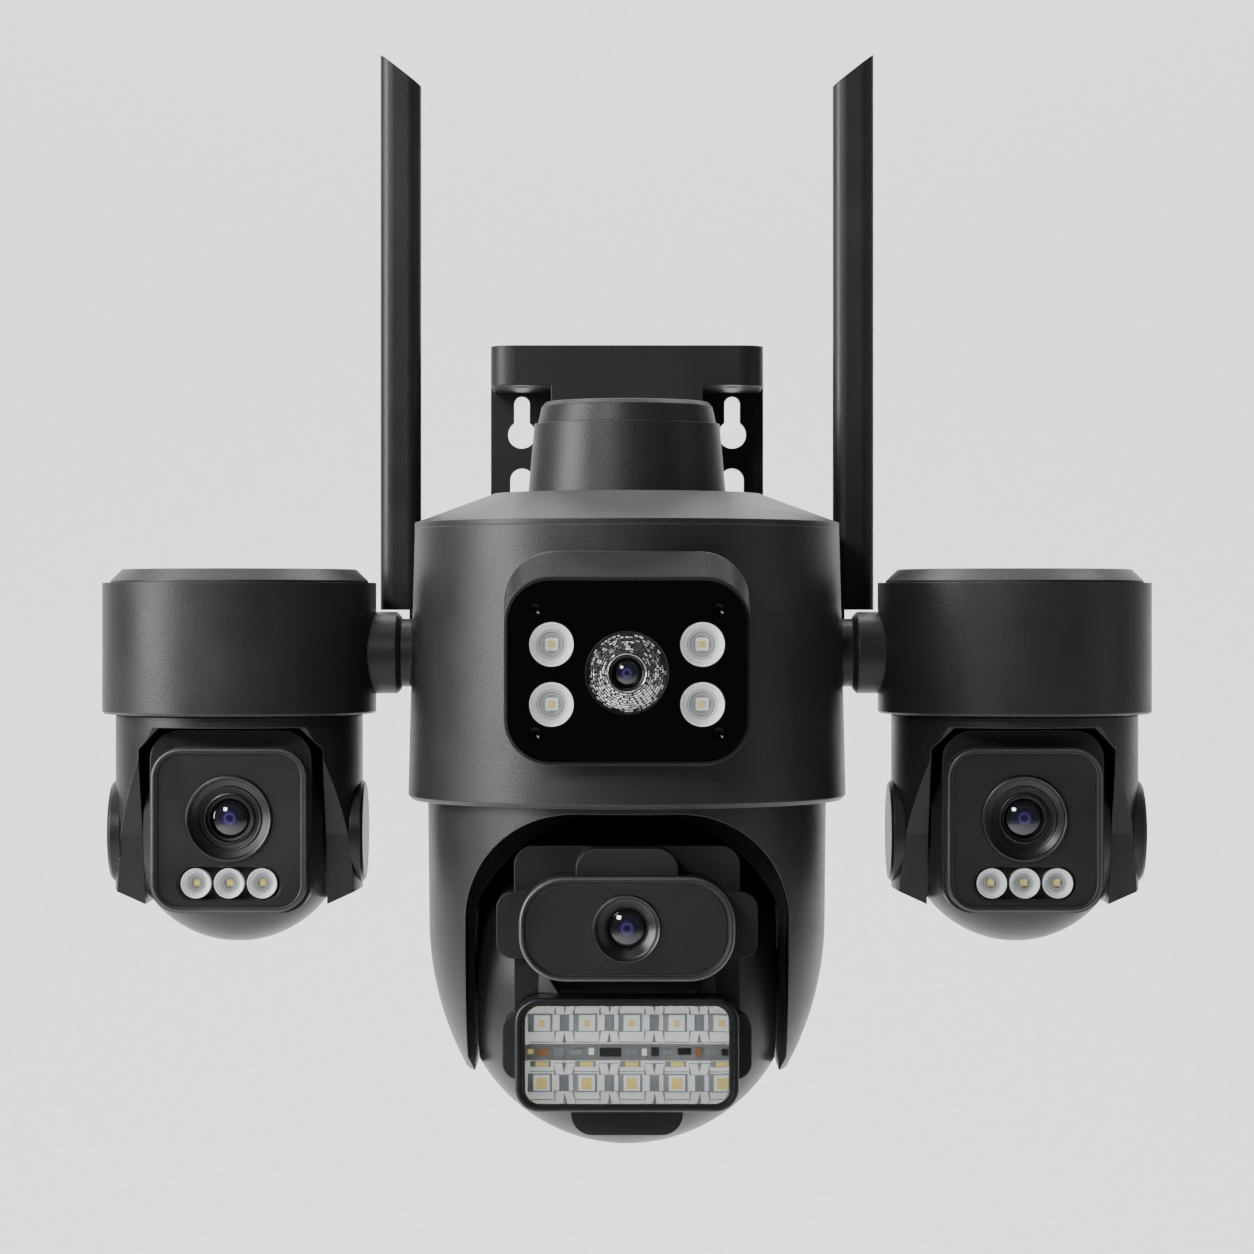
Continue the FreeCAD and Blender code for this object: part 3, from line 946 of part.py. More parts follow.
def side_head(side, mirror):
    """Ball with a shouldered square snout that carries the panel, lens and three lamps."""
    x = f"{mirror} * side_x"
    ball = sphere(f"{side}_ball", "side_head_radius", x, "axis_y", "side_tilt_z")
    bounds = box(f"{side}_ball_bounds", (f"{x} - side_head_half", f"{x} + side_head_half"),
                 ("axis_y - snout_depth", "axis_y + side_head_radius"),
                 ("side_tilt_z - side_head_radius", "side_tilt_z + side_head_radius"))
    snout = slab(f"{side}_snout", "snout_width / 2", "snout_height", "snout_corner", "0",
                 "snout_depth", x=x, z="snout_z")
    shoulder = slab(f"{side}_shoulder", "shoulder_half", "shoulder_height", "snout_corner", "0",
                    "shoulder_depth", x=x, z="shoulder_z")
    reach = "side_head_half + side_trunnion_reach"
    pivots = cylinder(f"{side}_pivots", "side_trunnion_radius", f"2 * ({reach})",
                      f"{x} - ({reach})", "axis_y", "side_tilt_z", "X")
    panel_room = slab(f"{side}_panel_room", "panel_width / 2", "panel_height", "panel_corner",
                      "snout_depth - panel_sink - panel_thick", "snout_depth + 1", x=x, z="snout_z")
    cavity = box(f"{side}_cavity", (f"{x} - cavity_half", f"{x} + cavity_half"),
                 ("axis_y - snout_depth", "axis_y + 12"),
                 ("snout_z - cavity_depth", "snout_z + cavity_depth"))
    led_room = slab(f"{side}_led_room", "led_width / 2", "led_height", "led_corner",
                    "snout_depth - panel_sink - led_depth", "snout_depth", x=x, z="led_z")
    solid = fuse(f"{side}_head_solid", common(f"{side}_ball_cut", ball, bounds), snout, shoulder,
                 pivots)
    node(cut(f"{side}_head_cut", solid, panel_room, cavity, led_room), f"{side}_head_shell")

    plate = slab(f"{side}_panel", "panel_width / 2", "panel_height", "panel_corner",
                 "snout_depth - panel_sink - panel_thick", "snout_depth - panel_sink", x=x,
                 z="snout_z")
    lens_hole = cylinder(f"{side}_lens_hole", "side_lens_radius", "snout_depth", x, "axis_y",
                         "side_lens_z", "front")
    led_hole = slab(f"{side}_led_hole", "led_width / 2", "led_height", "led_corner", "0",
                    "snout_depth", x=x, z="led_z")
    node(cut(f"{side}_panel_cut", plate, lens_hole, led_hole), f"{side}_face_panel")

    node(turned(f"{side}_barrel", [
        ("0", "-14"), ("side_lens_step", "-14"), ("side_lens_step", "-1"),
        ("side_lens_radius", "-1"), ("side_lens_radius", "panel_thick"),
        ("side_lens_radius - 0.6", "panel_thick + 0.7"),
        ("side_lens_radius - 1.6", "panel_thick + 0.7"),
        ("side_lens_step + 0.4", "1"), ("side_lens_step", "1"),
        ("side_lens_step - 0.5", "1.8"), ("side_lens_step - 1", "1.8"),
        ("side_lens_bore + 1", "0"), ("side_lens_bore + 0.5", "0.6"), ("side_lens_bore", "0.6"),
        ("side_lens_bore", "-1.2"), ("0", "-1.2"),
    ], x=x, y="side_panel_back_y", z="side_lens_z", axis="front"), f"{side}_lens_barrel")
    node(turned(f"{side}_glass", [
        ("0", "-1.2"), ("side_lens_bore", "-1.2"), ("side_lens_bore", "-0.6"),
        ("side_lens_bore / 2", "0.3"), ("0", "0.3"),
    ], x=x, y="side_panel_back_y", z="side_lens_z", axis="front"), f"{side}_lens_glass")

    block = slab(f"{side}_led_block", "led_width / 2", "led_height", "led_corner",
                 "snout_depth - panel_sink - led_depth", "snout_depth - panel_sink", x=x, z="led_z")
    bowls = []
    board = [box(f"{side}_led_plate", (f"{x} - led_width / 2", f"{x} + led_width / 2"),
                 ("side_face_y + led_depth", "side_face_y + led_depth + board_thick"),
                 ("led_z - led_height / 3", "led_z + led_height / 2"))]
    for index, step in enumerate(("-1", "0", "1")):
        at_x = f"{x} + {step} * led_pitch"
        bowls.append(cone(f"{side}_bowl_{index}", "led_throat", "led_mouth", "led_depth", at_x,
                          "side_face_y + led_depth", "led_z", "front"))
        board.append(box(f"{side}_led_chip_{index}",
                         (f"{at_x} - 1.3", f"{at_x} + 1.3"),
                         ("side_face_y + led_depth - chip_thick", "side_face_y + led_depth + 0.2"),
                         ("led_z - 1.3", "led_z + 1.3")))
    node(cut(f"{side}_led_cut", block, *bowls), f"{side}_led_cups")
    node(fuse(f"{side}_led_board_solid", *board), f"{side}_led_board")
    node(cylinder(f"{side}_tilt_motor_can", "side_tilt_motor_radius", "side_tilt_motor_length",
                  f"{x} + cavity_half - side_tilt_motor_length", "axis_y", "side_tilt_z", "X"),
         f"{side}_tilt_motor")


def check_all():
    """Stops before any file is written if a piece failed."""
    for thing in DOC.Objects:
        if {"Invalid", "Error"} & set(thing.State):
            raise RuntimeError(f"{thing.Name} did not build: {thing.State}")
    for made in NODES:
        if made.Shape.isNull() or not made.Shape.isValid() or not made.Shape.Solids:
            raise RuntimeError(f"{made.Label} has no valid solid")


wall_bracket()
neck()
roof()
drum()
drum_floor()
front_window()
stubs_and_lugs()
main_yoke()
main_head()
floodlight()
for side_name, side_sign in (("left", "-1"), ("right", "1")):
    antenna(side_name, side_sign)
    side_drum(side_name, side_sign)
    side_yoke(side_name, side_sign)
    side_head(side_name, side_sign)

DOC.recompute()
check_all()
os.makedirs("parts", exist_ok=True)
for piece in NODES:
    piece.Shape.exportStep(f"parts/{piece.Label}.step")
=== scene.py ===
"""Looks of the triple-head outdoor security camera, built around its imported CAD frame."""

import math
import random

import bmesh
import bpy
from mathutils import Matrix, Vector


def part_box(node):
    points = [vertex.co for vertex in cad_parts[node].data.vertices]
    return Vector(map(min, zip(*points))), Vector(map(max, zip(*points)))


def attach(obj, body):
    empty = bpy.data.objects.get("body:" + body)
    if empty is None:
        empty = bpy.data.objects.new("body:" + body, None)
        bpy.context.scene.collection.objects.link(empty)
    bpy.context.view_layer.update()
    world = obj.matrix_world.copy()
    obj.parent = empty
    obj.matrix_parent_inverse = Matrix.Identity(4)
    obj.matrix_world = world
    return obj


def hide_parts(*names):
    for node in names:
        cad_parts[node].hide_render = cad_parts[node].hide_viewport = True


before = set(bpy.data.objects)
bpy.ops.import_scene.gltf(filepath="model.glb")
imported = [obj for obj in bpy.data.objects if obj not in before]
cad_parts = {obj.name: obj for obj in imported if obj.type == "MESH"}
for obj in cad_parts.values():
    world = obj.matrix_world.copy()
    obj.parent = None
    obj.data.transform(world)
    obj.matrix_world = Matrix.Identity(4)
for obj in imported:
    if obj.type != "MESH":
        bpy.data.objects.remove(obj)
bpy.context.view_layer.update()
MM = 0.001
SIDES = ("left", "right")
FACET_SEED = 7
random.seed(FACET_SEED)


# ---------------------------------------------------------------- materials
ACRYLIC_IOR = 1.46


def new_material(name):
    """Material with its node tree and its shader."""
    material = bpy.data.materials.new(name)
    material.use_nodes = True
    tree = material.node_tree
    return material, tree, tree.nodes["Principled BSDF"]


def noise(tree, scale, detail=3.0, roughness=0.55):
    """Solid noise in the row frame, with scale in features per metre."""
    place = tree.nodes.new("ShaderNodeTexCoord")
    made = tree.nodes.new("ShaderNodeTexNoise")
    made.inputs["Scale"].default_value = scale
    made.inputs["Detail"].default_value = detail
    made.inputs["Roughness"].default_value = roughness
    tree.links.new(place.outputs["Object"], made.inputs["Vector"])
    return made


def spread(tree, source, low, high):
    """Maps the middle of a noise's range onto low to high."""
    made = tree.nodes.new("ShaderNodeMapRange")
    made.inputs["From Min"].default_value = 0.3
    made.inputs["From Max"].default_value = 0.7
    made.inputs["To Min"].default_value = low
    made.inputs["To Max"].default_value = high
    tree.links.new(source, made.inputs["Value"])
    return made.outputs["Result"]


def two_tone(tree, factor, dark, light):
    """Colour that runs from dark to light with the factor."""
    made = tree.nodes.new("ShaderNodeMix")
    made.data_type = "RGBA"
    made.inputs["A"].default_value = (*dark, 1)
    made.inputs["B"].default_value = (*light, 1)
    tree.links.new(factor, made.inputs["Factor"])
    return made.outputs["Result"]


def moulded(name, tone, roughness, grain=2600, relief=0.16, edge=0.5, edge_highlight_gain=1.7, spec=0.5):
    """Moulded plastic or powder coat: fine grain, uneven sheen and softly rounded edges, with a
    painted highlight that makes the edges paler.
    """
    material, tree, shader = new_material(name)
    cloud = noise(tree, 38)
    fine = noise(tree, grain, 2.0)
    rounding = tree.nodes.new("ShaderNodeBevel")
    rounding.samples = 6
    rounding.inputs["Radius"].default_value = edge * MM
    bump = tree.nodes.new("ShaderNodeBump")
    bump.inputs["Strength"].default_value = relief
    bump.inputs["Distance"].default_value = 0.08 * MM
    tree.links.new(fine.outputs["Fac"], bump.inputs["Height"])
    tree.links.new(rounding.outputs["Normal"], bump.inputs["Normal"])
    tree.links.new(bump.outputs["Normal"], shader.inputs["Normal"])

    # Painted highlight: where the rounded-edge normal turns away from the face normal, the colour
    # is lifted towards the tone times the edge gain, standing in for light caught by the edges.
    flat = tree.nodes.new("ShaderNodeNewGeometry")
    bend = tree.nodes.new("ShaderNodeVectorMath")
    bend.operation = "DOT_PRODUCT"
    tree.links.new(flat.outputs["Normal"], bend.inputs[0])
    tree.links.new(rounding.outputs["Normal"], bend.inputs[1])
    edge_highlight = tree.nodes.new("ShaderNodeMapRange")
    edge_highlight.inputs["From Min"].default_value = 0.99
    edge_highlight.inputs["From Max"].default_value = 0.88
    edge_highlight.inputs["To Max"].default_value = 0.8
    tree.links.new(bend.outputs["Value"], edge_highlight.inputs["Value"])
    dark = tuple(part * 0.86 for part in tone)
    light = tuple(part * 1.12 for part in tone)
    base = two_tone(tree, spread(tree, cloud.outputs["Fac"], 0, 1), dark, light)
    rim = tree.nodes.new("ShaderNodeMix")
    rim.data_type = "RGBA"
    rim.inputs["B"].default_value = (*(part * edge_highlight_gain + 0.01 for part in tone), 1)
    tree.links.new(edge_highlight.outputs["Result"], rim.inputs["Factor"])
    tree.links.new(base, rim.inputs["A"])
    tree.links.new(rim.outputs["Result"], shader.inputs["Base Color"])
    tree.links.new(
        spread(tree, cloud.outputs["Fac"], roughness - 0.04, roughness + 0.05),
        shader.inputs["Roughness"])
    shader.inputs["Specular IOR Level"].default_value = spec
    return material


def gloss(name, tone, roughness, coat=0.0, spec=0.5, glow=0.0):
    """Polished plastic with faint haze and hardly visible moulding ripple; a glow above zero makes
    the surface give off its own colour as painted brightness.
    """
    material, tree, shader = new_material(name)
    haze = noise(tree, 90)
    ripple = noise(tree, 160, 1.0)
    light = tuple(part * 1.06 for part in tone)
    base = two_tone(tree, spread(tree, haze.outputs["Fac"], 0, 1), tone, light)
    tree.links.new(base, shader.inputs["Base Color"])
    tree.links.new(spread(tree, haze.outputs["Fac"], roughness, roughness * 1.5),
                   shader.inputs["Roughness"])
    bump = tree.nodes.new("ShaderNodeBump")
    bump.inputs["Strength"].default_value = 0.03
    bump.inputs["Distance"].default_value = 0.05 * MM
    tree.links.new(ripple.outputs["Fac"], bump.inputs["Height"])
    tree.links.new(bump.outputs["Normal"], shader.inputs["Normal"])
    shader.inputs["Coat Weight"].default_value = coat
    shader.inputs["Specular IOR Level"].default_value = spec
    # Painted brightness: the surface gives off light of its own, though it is no lamp.
    if glow:
        tree.links.new(base, shader.inputs["Emission Color"])
        shader.inputs["Emission Strength"].default_value = glow
    return material


def metal(name, tone, roughness, grain=900):
    """Bright metal or metallised plastic with a finely mottled surface."""
    material, tree, shader = new_material(name)
    fine = noise(tree, grain)
    dark = tuple(part * 0.8 for part in tone)
    base = two_tone(tree, spread(tree, fine.outputs["Fac"], 0, 1), dark, tone)
    tree.links.new(base, shader.inputs["Base Color"])
    tree.links.new(spread(tree, fine.outputs["Fac"], roughness * 0.8, roughness * 1.3),
                   shader.inputs["Roughness"])
    shader.inputs["Metallic"].default_value = 1.0
    return material


def clear(name, tone, roughness):
    """Clear moulded plastic with a hardly visible haze."""
    material, tree, shader = new_material(name)
    fine = noise(tree, 700)
    base = two_tone(tree, spread(tree, fine.outputs["Fac"], 0, 1),
                    tuple(part * 0.97 for part in tone), tone)
    tree.links.new(base, shader.inputs["Base Color"])
    tree.links.new(spread(tree, fine.outputs["Fac"], roughness, roughness * 2),
                   shader.inputs["Roughness"])
    shader.inputs["Transmission Weight"].default_value = 1.0
    shader.inputs["IOR"].default_value = ACRYLIC_IOR
    return material


def phosphor(name, tone, glow):
    """Yellow LED die with a speckled phosphor layer."""
    material, tree, shader = new_material(name)
    fine = noise(tree, 5200)
    base = two_tone(tree, spread(tree, fine.outputs["Fac"], 0, 1),
                    tuple(part * 0.72 for part in tone), tone)
    tree.links.new(base, shader.inputs["Base Color"])
    tree.links.new(base, shader.inputs["Emission Color"])
    shader.inputs["Emission Strength"].default_value = glow
    shader.inputs["Roughness"].default_value = 0.5
    return material


def coated_lens_glints(name, radius):
    """Coated lens seen from the front: dark pupil, a violet ring and a faint grey ring painted in
    as reflections of the coating, black outside, glossy all over.
    """
    material, tree, shader = new_material(name)
    place = tree.nodes.new("ShaderNodeTexCoord")
    flat = tree.nodes.new("ShaderNodeVectorMath")
    flat.operation = "MULTIPLY"
    flat.inputs[1].default_value = (1 / radius, 0, 1 / radius)
    size = tree.nodes.new("ShaderNodeVectorMath")
    size.operation = "LENGTH"
    ramp = tree.nodes.new("ShaderNodeValToRGB")
    # The violet ring near a quarter of the radius and the faint grey ring further out are painted
    # reflections of the coating; the rest is the dark glass.
    stops = ((0.0, (0.004, 0.003, 0.012)), (0.16, (0.01, 0.008, 0.05)),
             (0.24, (0.055, 0.040, 0.15)), (0.34, (0.012, 0.009, 0.04)),
             (0.50, (0.004, 0.004, 0.010)), (0.62, (0.014, 0.012, 0.024)),
             (0.72, (0.003, 0.003, 0.004)))
    while len(ramp.color_ramp.elements) < len(stops):
        ramp.color_ramp.elements.new(0.5)
    for element, (at, colour) in zip(ramp.color_ramp.elements, stops):
        element.position = at
        element.color = (*colour, 1)
    tree.links.new(place.outputs["Object"], flat.inputs[0])
    tree.links.new(flat.outputs["Vector"], size.inputs[0])
    tree.links.new(size.outputs["Value"], ramp.inputs["Fac"])
    tree.links.new(ramp.outputs["Color"], shader.inputs["Base Color"])
    haze = noise(tree, 600)
    tree.links.new(spread(tree, haze.outputs["Fac"], 0.04, 0.08), shader.inputs["Roughness"])
    shader.inputs["Specular IOR Level"].default_value = 0.7
    shader.inputs["Coat Weight"].default_value = 0.6
    return material


# The large edge gains below paint bright highlight lines along the edges of these plastics.
CHARCOAL = moulded("charcoal_plastic", (0.019, 0.019, 0.020), 0.40, grain=1700, relief=0.7,
                   edge_highlight_gain=3.0, spec=0.3)
SNOUT = moulded("snout_plastic", (0.015, 0.015, 0.016), 0.38, grain=1900, relief=0.6,
                edge=0.4, edge_highlight_gain=5.0, spec=0.3)
FACE = moulded("face_plastic", (0.014, 0.014, 0.015), 0.46, grain=3000, spec=0.3)
PANEL = moulded("panel_plastic", (0.011, 0.011, 0.012), 0.38, grain=3400, relief=0.08, edge=0.2)
POWDER = moulded("powder_coat", (0.017, 0.017, 0.018), 0.44, grain=1900, relief=0.3,
                 edge_highlight_gain=2.4, spec=0.3)
BARREL = moulded("barrel_black", (0.005, 0.005, 0.006), 0.32, grain=4200, relief=0.06, edge=0.12)
RUBBER = moulded("gland_rubber", (0.012, 0.012, 0.012), 0.62, grain=1400)
WINDOW = gloss("window_gloss", (0.0016, 0.0016, 0.0018), 0.12, spec=0.12)
FRAME_GLOSS = gloss("frame_gloss", (0.007, 0.007, 0.008), 0.26, spec=0.4)
REFLECTOR = gloss("reflector_white", (0.76, 0.77, 0.77), 0.20, 0.6)
BOWL_GREY = gloss("bowl_grey", (0.46, 0.47, 0.48), 0.22, 0.6)
# A paler copy of the black plastic, laid on the outer edges of the pod and of the side-head frames
# as a painted highlight.
RIM_HIGHLIGHT = moulded("rim_painted_highlight", (0.055, 0.055, 0.057), 0.30, grain=2600, relief=0.1, edge=0.15)
# The white flood board glows a little: painted brightness, not a lamp.
BOARD_WHITE = gloss("board_white", (0.86, 0.87, 0.87), 0.34, glow=0.3)
PAD_GREY = gloss("pad_grey", (0.30, 0.31, 0.33), 0.35)
WELL_GREY = gloss("well_grey", (0.36, 0.37, 0.38), 0.3)
BAND_GREY = gloss("band_grey", (0.26, 0.265, 0.27), 0.3)
PCB_GREEN = gloss("board_green", (0.02, 0.11, 0.05), 0.35)
NYLON = gloss("gear_nylon", (0.72, 0.71, 0.67), 0.45)
COPPER = metal("copper_part", (0.62, 0.30, 0.14), 0.35)
SILVER = metal("bright_metal", (0.80, 0.81, 0.83), 0.22)
PRISM = metal("prism_ring_metal", (0.78, 0.79, 0.81), 0.10)
STEEL = metal("motor_steel", (0.50, 0.51, 0.53), 0.32)
DOME = clear("led_dome_clear", (0.97, 0.98, 0.98), 0.01)
PLATE = clear("flood_lens_clear", (0.97, 0.98, 0.98), 0.01)
YELLOW = phosphor("led_phosphor", (0.92, 0.74, 0.24), 0.3)


# ---------------------------------------------------------------- mesh helpers
def finish_piece(name, mesh, body, materials, replaces, centre=(0, 0, 0), smooth=40):
    """Makes an object of a bmesh, with its origin at centre, and ties it to the frame."""
    bmesh.ops.recalc_face_normals(mesh, faces=mesh.faces)
    data = bpy.data.meshes.new(name)
    mesh.to_mesh(data)
    mesh.free()
    for material in materials:
        data.materials.append(material)
    piece = bpy.data.objects.new(name, data)
    bpy.context.scene.collection.objects.link(piece)
    piece.location = centre
    for face in data.polygons:
        face.use_smooth = True
    data.set_sharp_from_angle(angle=math.radians(smooth))
    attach(piece, body)
    if replaces:
        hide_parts(*replaces)
    return piece


def add_lathe(mesh, centre, profile, segments=96, material=0):
    """Turns (radius, forward) millimetre points about the line through centre towards -Y.

    A third entry gives the material of the band after the point."""
    rings = []
    for point in profile:
        radius, forward = point[0] * MM, point[1] * MM
        if radius < 1e-7:
            rings.append([mesh.verts.new((centre[0], centre[1] - forward, centre[2]))])
            continue
        ring = []
        for index in range(segments):
            angle = 2 * math.pi * index / segments
            ring.append(mesh.verts.new((
                centre[0] + radius * math.cos(angle), centre[1] - forward,
                centre[2] + radius * math.sin(angle))))
        rings.append(ring)
    for step in range(len(rings) - 1):
        first, second = rings[step], rings[step + 1]
        chosen = profile[step][2] if len(profile[step]) > 2 else material
        for index in range(segments):
            after = (index + 1) % segments
            corners = [first[index % len(first)], first[after % len(first)],
                       second[after % len(second)], second[index % len(second)]]
            kept = list(dict.fromkeys(corners))
            if len(kept) > 2:
                mesh.faces.new(kept).material_index = chosen


def add_block(mesh, low, high, material=0):
    """Box between two corners, in metres."""
    made = bmesh.ops.create_cube(mesh, size=1.0)
    middle = [(a + b) / 2 for a, b in zip(low, high)]
    size = [b - a for a, b in zip(low, high)]
    bmesh.ops.transform(mesh, verts=made["verts"], matrix=Matrix.LocRotScale(
        Vector(middle), None, Vector(size)))
    for face in {face for vert in made["verts"] for face in vert.link_faces}:
        face.material_index = material


def rounded_loop(half_x, half_z, corner, steps=10):
    """Points of a rounded rectangle round the origin, in millimetres."""
    points = []
    for quarter, (sign_x, sign_z) in enumerate(((1, 1), (-1, 1), (-1, -1), (1, -1))):
        for step in range(steps + 1):
            angle = math.pi / 2 * (quarter + step / steps)
            points.append((sign_x * (half_x - corner) + corner * math.cos(angle),
                           sign_z * (half_z - corner) + corner * math.sin(angle)))
    return points


def add_shell(mesh, centre, rows, caps=(True, True)):
    """Skins rounded rectangles given as (half_x, half_z, corner, forward[, material]) in mm."""
    loops = []
    for row in rows:
        half_x, half_z, corner, forward = row[:4]
        loops.append([
            mesh.verts.new((centre[0] + x * MM, centre[1] - forward * MM, centre[2] + z * MM))
            for x, z in rounded_loop(half_x, half_z, corner)])
    for step in range(len(loops) - 1):
        first, second = loops[step], loops[step + 1]
        chosen = rows[step][4] if len(rows[step]) > 4 else 0
        for index in range(len(first)):
            after = (index + 1) % len(first)
            face = mesh.faces.new((first[index], first[after], second[after], second[index]))
            face.material_index = chosen
    if caps[0]:
        mesh.faces.new(list(reversed(loops[0]))).material_index = 0
    if caps[1]:
        last = mesh.faces.new(loops[-1])
        last.material_index = rows[-1][4] if len(rows[-1]) > 4 else 0


def inset_row(size, inset, forward, material=0):
    """Row for add_shell, drawn in by inset from a size of (half_x, half_z, corner)."""
    half_x, half_z, corner = size
    return half_x - inset, half_z - inset, corner - inset, forward, material


def round_over(size, forward, inset, rise, steps):
    """Rows of an edge that turns inwards by inset while it comes forward by rise."""
    rows = []
    for step in range(1, steps + 1):
        angle = math.pi / 2 * step / steps
        rows.append(inset_row(size, inset * (1 - math.cos(angle)),
                              forward + rise * math.sin(angle))[:4])
    return rows


def disc_hole(mesh, centre, row, radius, segments):
    """Flat face between a rounded rectangle and a round hole in its middle."""
    half_x, half_z, corner, forward = row[:4]
    y = centre[1] - forward * MM
    loop = [mesh.verts.new((centre[0] + x * MM, y, centre[2] + z * MM))
            for x, z in rounded_loop(half_x, half_z, corner)]
    ring = []
    for index in range(segments):
        angle = 2 * math.pi * index / segments
        ring.append(mesh.verts.new((centre[0] + radius * MM * math.cos(angle), y,
                                    centre[2] + radius * MM * math.sin(angle))))
    edges = [mesh.edges.new((group[index], group[(index + 1) % len(group)]))
             for group in (loop, ring) for index in range(len(group))]
    bmesh.ops.triangle_fill(mesh, use_beauty=True, edges=edges)


def add_prism(mesh, spots, back, material):
    """Closed prism from four front points to a flat back at the given y."""
    base = [mesh.verts.new((spot.co.x, back, spot.co.z)) for spot in spots]
    mesh.faces.new(spots).material_index = material
    mesh.faces.new(list(reversed(base))).material_index = material
    for index in range(4):
        after = (index + 1) % 4
        side = mesh.faces.new((spots[index], base[index], base[after], spots[after]))
        side.material_index = material


def weld(mesh):
    """Joins points that lie on each other."""
    bmesh.ops.remove_doubles(mesh, verts=mesh.verts, dist=1e-6)


def back_frame(node):
    """Middle of a node's back in metres, then half width, half height and depth in mm."""
    low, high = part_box(node)
    centre = ((low.x + high.x) / 2, high.y, (low.z + high.z) / 2)
    return centre, (high.x - low.x) / MM / 2, (high.z - low.z) / MM / 2, (high.y - low.y) / MM


# ---------------------------------------------------------------- lamps
LAMP_MATERIALS = [REFLECTOR, PAD_GREY, YELLOW, DOME, WELL_GREY, BOWL_GREY, PANEL]
CUP, PAD, DIE, CLEAR, WELL, BOWL, HOLDER = range(len(LAMP_MATERIALS))


def bowl_profile(mouth, depth, throat, lip):
    """Reflector cup: outer wall, rounded lip and a bowl in three steps down to the throat."""
    rows = [(throat, 0), (mouth, 0), (mouth, depth - lip), (mouth - lip * 0.4, depth),
            (mouth - lip, depth - lip * 0.3)]
    turns, grooved = 12, (6, 9)
    for step in range(1, turns + 1):
        share = step / turns
        radius = (mouth - lip) + (throat - mouth + lip) * share
        fall = (depth - 1.0) * (1 - (1 - share) ** 2.1)
        rows.append((radius, depth - lip * 0.3 - fall, CUP if share < 0.6 else BOWL))
        if step in grooved:
            rows.append((radius - 0.04, depth - lip * 0.3 - fall - 0.22, PAD))
    rows.append((throat, 0))
    return rows


def add_lamp(mesh, centre, mouth, depth, throat, chip):
    """Reflector cup with a stepped floor, a yellow die and a clear dome; sizes in mm."""
    add_lathe(mesh, centre, bowl_profile(mouth, depth, throat, mouth * 0.09), 72, CUP)
    floor = [(0, 0.15, WELL), (throat * 1.02, 0.15, WELL), (throat * 1.02, 0.9, WELL),
             (throat * 0.94, 1.0, PAD), (throat * 0.86, 0.95, PAD), (throat * 0.80, 0.62, WELL),
             (throat * 0.66, 0.55, PAD), (throat * 0.60, 0.72, BOWL), (throat * 0.50, 0.55, PAD),
             (0, 0.55, PAD)]
    add_lathe(mesh, centre, floor, 60)
    x, y, z = centre
    half = chip * MM / 2
    add_block(mesh, (x - half, y - 0.85 * MM, z - half), (x + half, y - 0.5 * MM, z + half), DIE)
    radius, foot, steps = throat * 0.7, 0.95, 8
    dome = [(0, foot + radius)]
    for step in range(1, steps + 1):
        angle = math.pi / 2 * step / steps
        dome.append((radius * math.sin(angle), foot + radius * math.cos(angle)))
    dome += [(radius, 0.9), (0, 0.9)]
    add_lathe(mesh, centre, dome, 48, CLEAR)


def front_lamps():
    """Four lamps in the corners of the front window."""
    low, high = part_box("front_led_cups")
    mouth = 5.9
    mesh = bmesh.new()
    for x in (low.x + mouth * MM, high.x - mouth * MM):
        for z in (low.z + mouth * MM, high.z - mouth * MM):
            add_lamp(mesh, (x, high.y, z), mouth, depth=4.9, throat=2.5, chip=1.2)
    finish_piece("front_lamps", mesh, "root", LAMP_MATERIALS[:HOLDER],
                 ["front_led_cups"])


def side_lamps(side):
    """Three lamps in a row in a stadium-shaped holder."""
    centre, half_x, half_z, depth = back_frame(f"{side}_led_cups")
    size = (half_x, half_z, half_z - 0.05)
    mesh = bmesh.new()
    add_shell(mesh, centre, [
        inset_row(size, inset, forward, HOLDER)
        for inset, forward in ((0, 0), (0, depth - 0.5), (0.2, depth - 0.2),
                               (0.5, depth - 0.6), (0.55, 0.4))])
    pitch, mouth = 8.9, 4.08
    for step in (-1, 0, 1):
        seat = (centre[0] + step * pitch * MM, centre[1] - 0.1 * MM, centre[2])
        add_lamp(mesh, seat, mouth, depth - 0.15, throat=1.75, chip=0.95)
    finish_piece(f"{side}_lamps", mesh, f"{side}_head", LAMP_MATERIALS,
                 [f"{side}_led_cups", f"{side}_led_board"])


# ---------------------------------------------------------------- lenses
def lens_piece(name, body, node, radius, seat, crown, replaces):
    """Front element: a shallow dome with its own origin, so its painted reflection rings centre on
    it.
    """
    back = back_frame(node)[0]
    centre = (back[0], back[1] - seat * MM, back[2])
    mesh = bmesh.new()
    steps = 12
    profile = [(0, crown)]
    for step in range(1, steps + 1):
        share = step / steps
        profile.append((radius * share, crown * (1 - share ** 2)))
    profile += [(radius, -1.0), (0, -1.0)]
    add_lathe(mesh, (0, 0, 0), profile, 96, 0)
    finish_piece(name, mesh, body, [coated_lens_glints(name + "_coated_glints", radius * MM)],
                 replaces, centre)


